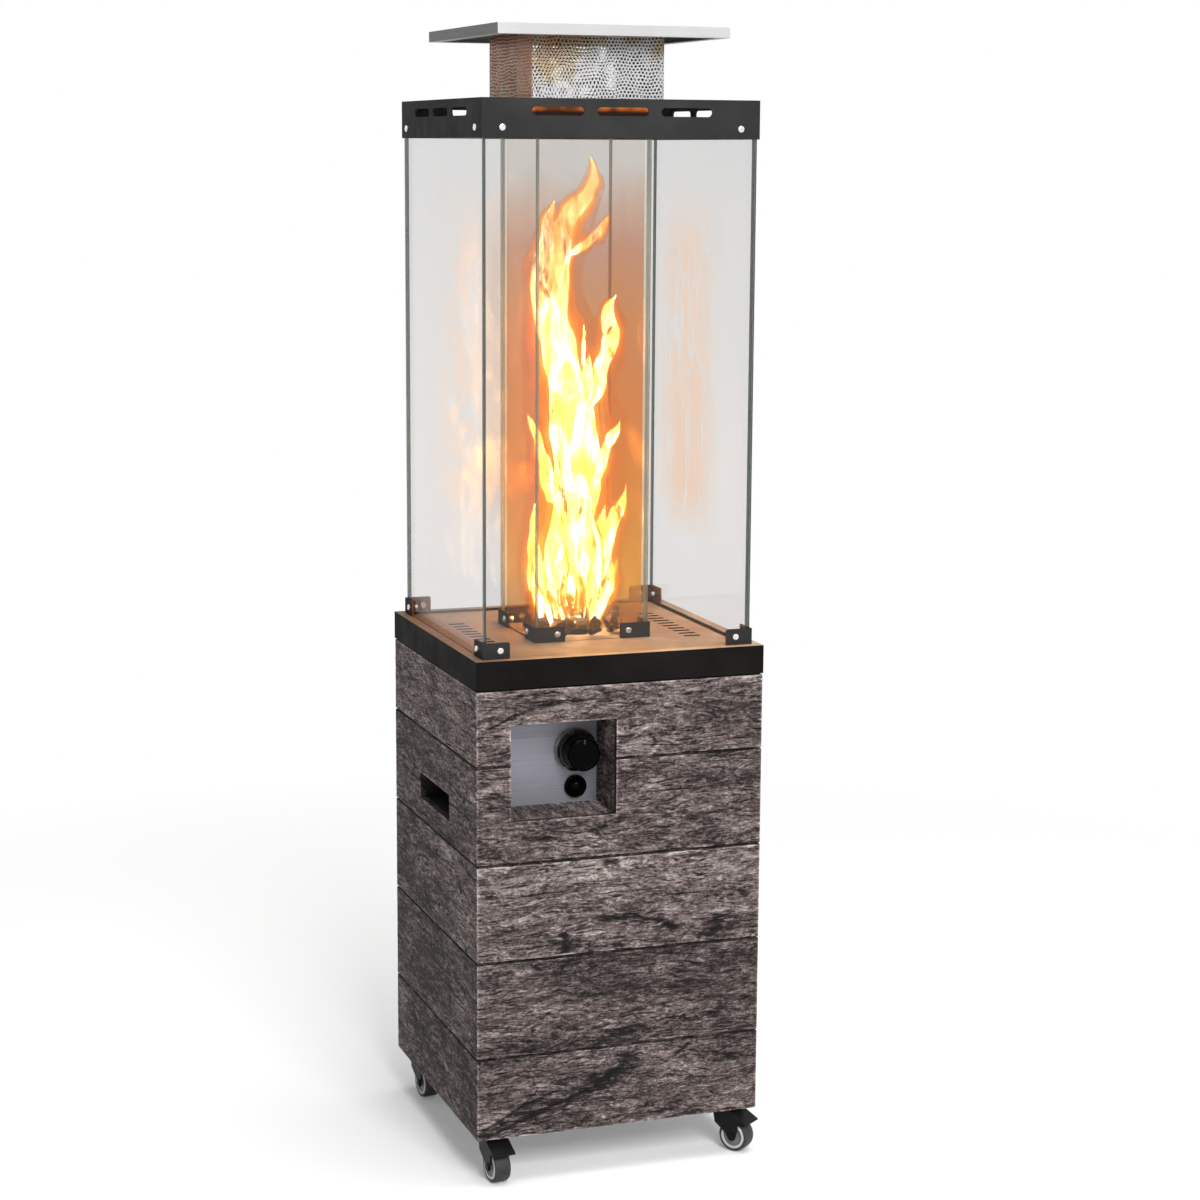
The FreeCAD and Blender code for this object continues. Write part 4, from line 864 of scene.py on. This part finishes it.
def fit_screws():
    """Button heads with a round socket, on the brackets and the upper band."""
    values = {"Head Radius": 4.7 * MM, "Head Height": 2.9 * MM}
    values.update({"Steel": FINISH["screw_steel"], "Socket": FINISH["socket_shade"]})
    height = GIVEN.take("Head Height")
    shape = Value("GeometryNodeMeshCircle", {"Vertices": 24, "Radius": GIVEN.take("Head Radius")}, fill_type="NGON")
    top = True
    for rise, shrink in ((0.45, 0.99), (0.28, 0.93), (0.17, 0.84), (0.10, 0.74), (0.0, 0.72)):
        shape, top = extruded(shape, top, height * rise)
        shape = resized(shape, top, shrink)
    shape, pit = extruded(shape, top, height * -0.55)
    # The socket pit of each head is near black: painted shade
    shape = painted(painted(shape, "Steel"), "Socket", pit)
    points, facings = [], []
    for face, inset, level in (
        (BRACKET_FACE, 25 * MM, DECK_TOP + 11.5 * MM),
        (BAND_FACE, 28 * MM, BAND_LOW + 13.5 * MM),
        (TUBE_BRACKET_FACE, 33 * MM, PLATE_TOP + 11.5 * MM),
    ):
        for turn in map(quarter_turn, range(4)):
            for side in (-1, 1):
                points.append(turn @ Vector((side * (face - inset), -face, level)))
                facings.append(turn @ -Y)
    heads = repeated("button_screws", values, shape, "Z", points, facings)
    new_piece("glass_screw_heads", heads, "cabinet")


def square_frame(work, outer, inner, low, high):
    """A flat square ring of sheet."""
    rings = []
    for half, level in ((outer, low), (outer, high), (inner, high), (inner, low)):
        rings.append([work.verts.new((x * half, y * half, level)) for x, y in ((-1, -1), (1, -1), (1, 1), (-1, 1))])
    skin(work, rings + rings[:1])


def build_chimney():
    """Sheet walls full of small round holes in staggered rows that wander, between two flanges."""
    half = CHIMNEY_FACE - 0.6 * MM
    values = {"Width": 2 * half, "Height": CHIMNEY_HIGH - CHIMNEY_LOW, "Across": 38, "Up": 22}
    values.update({"Wander": 9 * MM, "Seed": 3.0, "Steel": FINISH["chimney_steel"]})
    width, height, across, up, wander, seed = map(GIVEN.take, list(values)[:6])
    sizes = {"Size X": width, "Size Y": height, "Vertices X": across, "Vertices Y": up}
    place = Value("GeometryNodeInputPosition")
    away = [calc("ABSOLUTE", part(place, axis)) for axis in range(2)]
    inner = calc("LESS_THAN", away[0], width * 0.495) * calc("LESS_THAN", away[1], height * 0.495)
    row = calc("MODULO", calc("MODULO", Value("GeometryNodeInputIndex"), up), 2)
    stagger = row * calc("DIVIDE", width, across) * (inner * 0.5)
    seeded = vector("ADD", vector("SCALE", place, 38.0), Value("CombineXYZ", {"Z": seed}))
    field = vector("SUBTRACT", clouds(1.0, 1.0, 0.5, place=seeded, output=1), (0.5, 0.5, 0.5))
    drift = vector("SCALE", vector("MULTIPLY", field, (1, 1, 0)), wander * inner)
    offset = vector("ADD", Value("CombineXYZ", {"X": stagger}), drift)
    moved = Value("GeometryNodeSetPosition", {"Geometry": Value("GeometryNodeMeshGrid", sizes), "Offset": offset})
    thirds = Value("GeometryNodeTriangulate", {"Mesh": moved}, quad_method="SHORTEST_DIAGONAL")
    honeycomb = Value("GeometryNodeDualMesh", {"Mesh": thirds, "Keep Boundaries": True})
    inset, holes = extruded(honeycomb, True, 0.0, True)
    size = Value("FunctionNodeRandomValue", {2: 0.56, 3: 0.68, "Seed": 5}, 1, data_type="FLOAT")
    pierced = {"Geometry": resized(inset, holes, size), "Selection": holes}
    sheet = Value("GeometryNodeDeleteGeometry", pierced, domain="FACE")
    upright = Value("GeometryNodeTransform", {"Geometry": sheet, "Rotation": (math.radians(90), 0, 0)})
    level = (CHIMNEY_LOW + CHIMNEY_HIGH) / 2
    turns = [quarter_turn(quarter) for quarter in range(4)]
    points, facings = [turn @ Vector((0, -half, level)) for turn in turns], [turn @ Y for turn in turns]
    walls = repeated("perforated_screen", values, painted(upright, "Steel"), "Y", points, facings, 0.9 * MM)
    new_piece("chimney_walls", walls, "cabinet", ("chimney_screen",))
    work = bmesh.new()
    square_frame(work, CHIMNEY_FACE, CHIMNEY_FACE - 24 * MM, CHIMNEY_HIGH - 1.2 * MM, CHIMNEY_HIGH)
    square_frame(work, CHIMNEY_FACE, TUBE_INSIDE, CHIMNEY_LOW, CHIMNEY_LOW + 1.2 * MM)
    new_piece("chimney_flanges", finished_mesh(work), "cabinet", (), ("chimney_steel",))


# Controls

KNOB = [
    (12.2, 5), (12.2, 0), (29.6, 0), (30.3, 0.5), (30.4, 1.6), (29.4, 3.0), (27.6, 4.8), (26.2, 6.4), (25.3, 8.2),
    (25.0, 10), (24.8, 14), (24.5, 20), (24.2, 27), (24.0, 31.5), (23.6, 33.4), (22.8, 34.6), (21.4, 35.3),
    (19.6, 35.5), (18.6, 35.1), (17.8, 34.8), (9, 34.7), (0, 34.7),
]
KNOB_RIM = [(27.0, 0), (29.9, 0), (30.5, 0.6), (30.55, 1.5), (30.5, 2.4), (29.9, 3.0), (27.0, 3.0), (27.0, 0)]
BEZEL = [
    (0, -55), (9.4, -55), (10, -54), (10, -5.5), (14, -5.5), (14, -1.5), (10, -1.5), (10, 0), (15.4, 0), (16, 0.8),
    (16, 4.6), (15.6, 5.8), (14.8, 6.4), (13.4, 6.5), (12.6, 6.0), (12.55, 1.0), (6.05, 1.0), (6.05, -17.5), (0, -17.5),
]
DOME = [
    (0, -8.7), (6, -8.7), (6, 5.3), (12.0, 5.3), (12.5, 5.9), (12.5, 9.6), (12.2, 10.6), (11.4, 12.0), (10.0, 13.4),
    (8.2, 14.6), (6.0, 15.5), (3.2, 16.1), (0, 16.3),
]


def build_knob():
    """Round grip with shallow hollows on a bright conical skirt."""
    hollows = {10: 0.5, 11: 1.0, 12: 1.0, 13: 1.0, 14: 0.5}

    def grip(turn, step, radius):
        return radius - hollows.get(step, 0.0) * MM * max(0.0, math.cos(8 * turn + math.pi)) ** 2

    def part_of(step):
        return 2 if 2 <= step <= 4 else 1 if 1 <= step <= 7 else 0

    mesh = turned_mesh(KNOB, Vector((KNOB_X, KNOB_BACK, KNOB_Z)), -Y, 96, grip, part_of)
    finishes = ("knob_black", "skirt_metal", "knob_chrome")
    new_piece("knob_grip", mesh, "knob", ("control_knob",), finishes)
    mesh = turned_mesh(KNOB_RIM, Vector((KNOB_X, KNOB_BACK + 3 * MM, KNOB_Z)), -Y, 96)
    new_piece("knob_rim", mesh, "knob", ("knob_ring",), ("knob_chrome",))
    work = bmesh.new()
    face, sunk = KNOB_BACK - 35.7 * MM, 1.4 * MM
    mark = [(-0.9, 15.5), (0.9, 15.5), (1.1, 22.0), (-1.1, 22.0)]
    front, back = (
        [work.verts.new((KNOB_X + x * MM, level, KNOB_Z + z * MM)) for x, z in mark] for level in (face, face + sunk)
    )
    work.faces.new(front)
    work.faces.new(back[::-1])
    skin(work, [front, back])
    new_piece("knob_mark", finished_mesh(work), "knob", (), ("dark_plastic",))


def build_igniter():
    face = Vector((BUTTON_X, PANEL_FACE, BUTTON_Z))
    mesh = turned_mesh(BEZEL, face, -Y)
    new_piece("igniter_bezel", mesh, "cabinet", ("igniter_barrel",), ("knob_black",))
    mesh = turned_mesh(DOME, face, -Y, degrees=50)
    new_piece("igniter_dome", mesh, "igniter_button", ("igniter_button",), ("knob_black",))


# Casters

# Place in mm and heading in degrees
CASTERS = {
    "front_left": ((-178, -178), 277),
    "front_right": ((178, -178), 307),
    "back_left": ((-178, 178), 277),
    "back_right": ((178, 178), 97),
}
TYRE = [
    (18.6, -10.6), (19.2, -11.6), (20.2, -12), (21.5, -11.6), (22.4, -10.4), (22.85, -8.4), (23, -6), (23, 6),
    (22.85, 8.4), (22.4, 10.4), (21.5, 11.6), (20.2, 12), (19.2, 11.6), (18.6, 10.6), (18.6, -10.6),
]
HALF_HUB = [
    (3.1, 12), (5.4, 12), (6.0, 11.5), (6.1, 9.4), (8.5, 8.9), (12.5, 9.2), (14.0, 9.9), (14.7, 11.2), (15.3, 11.9),
    (16.6, 12.0), (18.0, 11.9), (18.6, 11.2),
]
HUB = HALF_HUB + [(radius, -along) for radius, along in reversed(HALF_HUB)] + HALF_HUB[:1]
RIM_STEP = 7
WHEEL_CENTRE = (16, 0, 23)


def build_casters():
    def ribs(turn, step, radius):
        if radius < 7 * MM or radius > 14.2 * MM:
            return radius
        return radius + 0.5 * MM * math.cos(5 * turn)

    def part_of(step):
        return 0 if min(step, 2 * len(HALF_HUB) - 2 - step) >= RIM_STEP else 1

    for corner, (place, heading) in CASTERS.items():
        stand = Matrix.Translation(Vector((*place, 0)) * MM) @ Matrix.Rotation(math.radians(heading), 4, "Z")
        centre = stand @ (Vector(WHEEL_CENTRE) * MM)
        axle = (stand.to_3x3() @ Y).normalized()
        for name, profile, shape, pick, finishes in (
            ("tyre", TYRE, None, None, ("caster_wheel",)),
            ("hub", HUB, ribs, part_of, ("wheel_rim", "wheel_dish")),
        ):
            mesh = turned_mesh(profile, centre, axle, 72, shape, pick)
            new_piece(f"{name}_{corner}", mesh, "wheel_" + corner, ("wheel_" + corner,), finishes)
        soften("fork_" + corner, 0.6 * MM)
        soften("brake_pedal_" + corner, 0.7 * MM)


# Flame and stones

# Points (x, y, z, half width) in mm
TONGUES = [
    (
        (0, 0, 752, 26), (-8, 2, 830, 50), (-4, -4, 900, 48), (6, 2, 960, 46), (2, 0, 1030, 48), (-8, -4, 1090, 42),
        (-22, 2, 1150, 37), (-32, 2, 1210, 31), (-28, -2, 1270, 28), (-12, 2, 1320, 25), (8, 2, 1355, 18),
        (28, 0, 1385, 12), (20, 0, 1414, 1),
    ),
    ((-34, 4, 1150, 18), (-46, 6, 1200, 20), (-49, 6, 1255, 17), (-38, 4, 1310, 13), (-30, 2, 1362, 1)),
    ((-2, 0, 1282, 16), (24, 2, 1298, 14), (40, 4, 1316, 9), (54, 4, 1338, 1)),
    ((10, -4, 1060, 20), (36, -6, 1118, 22), (50, -8, 1160, 20), (50, -8, 1196, 12), (60, -8, 1228, 1)),
    ((22, 12, 930, 22), (50, 18, 984, 19), (66, 20, 1010, 12), (80, 18, 1050, 1)),
    ((-24, -10, 930, 20), (-50, -14, 986, 16), (-64, -16, 1020, 9), (-72, -14, 1066, 1)),
    ((26, -14, 820, 22), (50, -18, 886, 19), (63, -18, 916, 12), (78, -16, 962, 1)),
    ((-36, 8, 752, 14), (-52, 10, 812, 20), (-57, 10, 866, 15), (-50, 8, 934, 1)),
    ((38, 14, 752, 11), (58, 18, 784, 14), (67, 20, 806, 10), (78, 20, 846, 1)),
    ((-46, -20, 752, 10), (-58, -26, 784, 12), (-66, -28, 810, 8), (-72, -30, 850, 1)),
    ((22, -20, 752, 12), (40, -26, 812, 18), (34, -26, 872, 14), (44, -22, 932, 1)),
    ((16, -46, 752, 11), (12, -52, 806, 14), (20, -54, 862, 10), (8, -50, 926, 1)),
    ((-14, -40, 752, 9), (-22, -46, 800, 12), (-14, -46, 846, 8), (-24, -40, 900, 1)),
    ((-8, 44, 752, 11), (-14, 52, 820, 15), (-4, 56, 890, 10), (-12, 54, 960, 1)),
    ((30, 40, 752, 10), (26, 50, 808, 13), (34, 52, 858, 9), (24, 50, 924, 1)),
    ((-8, -30, 980, 14), (-4, -40, 1060, 15), (8, -38, 1120, 10), (2, -30, 1190, 1)),
    ((8, 30, 1000, 14), (-4, 40, 1090, 15), (4, 38, 1160, 10), (-8, 30, 1230, 1)),
]


def along_curve(values, share):
    """Smooth curve through a list of vectors."""
    place = share * (len(values) - 1)
    index = min(int(place), len(values) - 2)
    part = place - index
    before, start = values[max(index - 1, 0)], values[index]
    end, after = values[index + 1], values[min(index + 2, len(values) - 1)]
    slope_in, slope_out = (end - before) * 0.5, (after - start) * 0.5
    square, cube = part * part, part**3
    first = start * (2 * cube - 3 * square + 1) + slope_in * (cube - 2 * square + part)
    return first + end * (3 * square - 2 * cube) + slope_out * (cube - square)


def tongue(work, points, scale, sides=14):
    centres = [Vector(point[:3]) * MM for point in points]
    sizes = [Vector((point[3], 0, 0)) * MM for point in points]
    steps = 6 * (len(points) - 1)
    rings = []
    for step in range(steps + 1):
        centre = along_curve(centres, step / steps)
        radius = max(0.6 * MM, along_curve(sizes, step / steps).x * scale)
        turns = [2 * math.pi * index / sides for index in range(sides)]
        offsets = [Vector((radius * math.cos(turn), 0.72 * radius * math.sin(turn), 0)) for turn in turns]
        rings.append([work.verts.new(centre + offset) for offset in offsets])
    skin(work, rings)
    work.faces.new(rings[0][::-1])
    work.faces.new(rings[-1])


def flame_layer(name, scale, voxel):
    """All tongues melted into one closed skin that licks and curls."""
    work = bmesh.new()
    for points in TONGUES:
        tongue(work, points, scale)
    thing = new_object(name + "_raw", mesh_from(work))
    melt = thing.modifiers.new("melt", "REMESH")
    melt.mode = "VOXEL"
    melt.voxel_size = voxel
    melt.use_smooth_shade = True
    mesh = applied_mesh(thing)
    room = TUBE_INSIDE - 4 * MM
    for vert in mesh.vertices:
        place = vert.co
        share = smooth_step((place.z - LICK_LOW) / LICK_SPAN)
        lick = noise.noise_vector(Vector((place.x * 34, place.y * 34, place.z * 15 - 3)))
        curl = noise.noise_vector(Vector((place.x * 80, place.y * 80, place.z * 34)))
        move = Vector((lick.x * 9 + curl.x * 3.5, lick.y * 7 + curl.y * 3.0, lick.z * 10)) * MM * share
        x, y = (max(-room, min(room, value)) for value in (place.x + move.x, place.y + move.y))
        vert.co = (x, y, place.z + move.z)
    new_piece(name, mesh, "cabinet", (), (name,))


def build_flame():
    for name, (share, voxel, *_) in FLAME_LAYERS.items():
        flame_layer(name, share, voxel * MM)
    # Four sheets round the inside of the tube carry the painted glow of the flame
    half, low, levels, columns = TUBE_INSIDE - 2.5 * MM, FLAME_FOOT + 7 * MM, 14, 8
    work = bmesh.new()
    for quarter in range(4):
        rows = []
        for step in range(levels + 1):
            row = []
            for across in range(columns + 1):
                x = half * (across / (columns / 2) - 1)
                bulge = 1.2 * MM * math.cos(math.pi * x / (2 * half))
                place = Vector((x, -half - bulge, low + (TUBE_GLOW_TOP - low) * step / levels))
                row.append(work.verts.new(quarter_turn(quarter) @ place))
            rows.append(row)
        skin(work, rows, False)
    bmesh.ops.remove_doubles(work, verts=work.verts, dist=10 * SAME)
    new_piece("painted_tube_glow", finished_mesh(work, 20), "cabinet", (), ("painted_tube_glow",))


def build_stones():
    """The CAD lumps, cut finer and worn to porous stones."""
    mesh, work = cleaned_copy("lava_rocks", 1)
    bmesh.ops.triangulate(work, faces=work.faces)
    thing = new_object("stones_raw", mesh_from(work, mesh))
    finer = thing.modifiers.new("finer", "SUBSURF")
    finer.subdivision_type = "SIMPLE"
    finer.levels = finer.render_levels = 3
    mesh = applied_mesh(thing)
    outward = [vert.normal.copy() for vert in mesh.vertices]
    for vert, normal in zip(mesh.vertices, outward):
        pit = noise.turbulence(vert.co * 95, 3, False)
        lump = noise.noise(vert.co * 60)
        place = vert.co + normal * ((1.3 * lump - 1.9 * pit - 0.8) * MM)
        vert.co = (place.x, place.y, max(PLATE_TOP, place.z))
    for face in mesh.polygons:
        face.use_smooth = True
    new_piece("stones", mesh, "cabinet", ("lava_rocks",), ("lava_stone",))


# Setting

# The camera that was fitted to the picture
CAMERA_PLACE = (-1.21555, -3.53066, 1.42421)
CAMERA_YAW, CAMERA_PITCH, CAMERA_ROLL = 0.34195, -0.16935, 0.00605
FOCAL_PIXELS, PICTURE_PIXELS, SENSOR = 2624.76, 1200, 36


def place_camera():
    yaw, pitch, roll = CAMERA_YAW, CAMERA_PITCH, CAMERA_ROLL
    forward = Vector((math.cos(pitch) * math.sin(yaw), math.cos(pitch) * math.cos(yaw), math.sin(pitch)))
    right = Vector((math.cos(yaw), -math.sin(yaw), 0))
    up = right.cross(forward)
    across = right * math.cos(roll) + up * math.sin(roll)
    above = up * math.cos(roll) - right * math.sin(roll)
    data = bpy.data.cameras.new("view")
    data.sensor_width = SENSOR
    data.lens = SENSOR * FOCAL_PIXELS / PICTURE_PIXELS
    data.clip_start = 0.05
    data.clip_end = 200
    camera = new_object("view", data)
    turn = Matrix((across, above, -forward)).transposed().to_4x4()
    camera.matrix_world = Matrix.Translation(CAMERA_PLACE) @ turn
    bpy.context.scene.camera = camera


def new_lamp(name, kind, place, power):
    lamp = new_object(name, bpy.data.lights.new(name, kind))
    lamp.data.energy = power
    lamp.location = place
    return lamp


def soft_lamp(name, place, target, size, power):
    lamp = new_lamp(name, "AREA", place, power)
    lamp.data.shape = "SQUARE"
    lamp.data.size = size
    lamp.rotation_euler = (Vector(place) - Vector(target)).to_track_quat("Z", "Y").to_euler()


RAY = Value("LightPath")
# 1 for what is seen directly, through glass or mirrored, and 0 for what only gives light
SEEN_DIRECTLY = calc("MAXIMUM", RAY.take("Is Camera Ray"), RAY.take("Is Transmission Ray"))
SEEN = calc("MAXIMUM", SEEN_DIRECTLY, RAY.take("Is Glossy Ray"))


def set_stage():
    work = bmesh.new()
    bmesh.ops.create_grid(work, x_segments=8, y_segments=8, size=40)
    mesh = mesh_from(work)
    near = ramp(vector("LENGTH", PLACE) * 0.25, (0.16, 0.0), (0.55, 1.0))
    pale = Value("BsdfDiffuse", {"Color": (0.93, 0.93, 0.93)})
    shown = Value("AddShader", {0: pale, 1: light(WHITE, SEEN * 0.12)})
    mesh.materials.append(material("pale_floor", mixed(near * SEEN, shown, light(WHITE))))
    floor = new_object("floor", mesh)
    world = bpy.data.worlds.new("studio")
    bpy.context.scene.world = world
    world.use_nodes = True
    world.node_tree.nodes.clear()
    soft, white = (Value("Background", {"Color": WHITE, "Strength": strength}) for strength in (0.30, 1.0))
    fill(world.node_tree, Value("OutputWorld", {"Surface": mixed(SEEN, soft, white)}), {})
    soft_lamp("key", (-0.1, -4.4, 3.4), (0, 0, 0.8), 2.0, 188)
    soft_lamp("fill", (3.6, -0.8, 2.4), (0, 0, 0.8), 2.0, 12)
    soft_lamp("top", (0.3, -0.3, 4.6), (0, 0, 0.5), 2.6, 120)
    glow = new_lamp("flame_glow", "POINT", (0, 0, 0.93), 5.0)
    glow.data.color = (1.0, 0.55, 0.20)
    glow.data.shadow_soft_size = 0.05


def main():
    place_camera()
    bpy.context.scene.view_settings.view_transform = "Standard"
    bpy.context.scene.cycles.transparent_max_bounces = 64
    set_stage()
    for name, thing in frame["nodes"].items():
        thing.data.materials.clear()
        thing.data.materials.append(FINISH[finish_of(name)])
    clad_cabinet()
    for node in ("deck_frame", "upper_band", "top_plate"):
        soften(node, 0.7 * MM, 3)
    for node in ("outer_brackets", "inner_brackets", "deck_plate", "control_panel", "recess_liner", "hand_cups"):
        soften(node, 0.4 * MM)
    add_finish("deck_frame", "deck_bronze", lambda face: face.normal.z > 0.9 and abs(face.center.z - DECK_TOP) < MM / 2)
    # The side faces of the top plate get a far darker copy of its steel: painted shade
    add_finish("top_plate", "top_side_shade", lambda face: abs(face.normal.x) > 0.9)
    add_finish("outer_brackets", "lit_coat", lambda face: face.normal.dot(face.center * Vector((1, 1, 0))) < -0.05)
    # The walls of the deck plate's slots are near black: painted shade in the slots
    add_finish("deck_plate", "slot_wall", lambda face: abs(face.normal.z) < 0.4)
    for side in SIDES:
        soften("outer_glass_" + side, 0.5 * MM, 1)
        soften("inner_glass_" + side, 0.5 * MM, 1)
    fit_screws()
    build_chimney()
    build_knob()
    build_igniter()
    build_casters()
    build_stones()
    build_flame()


main()
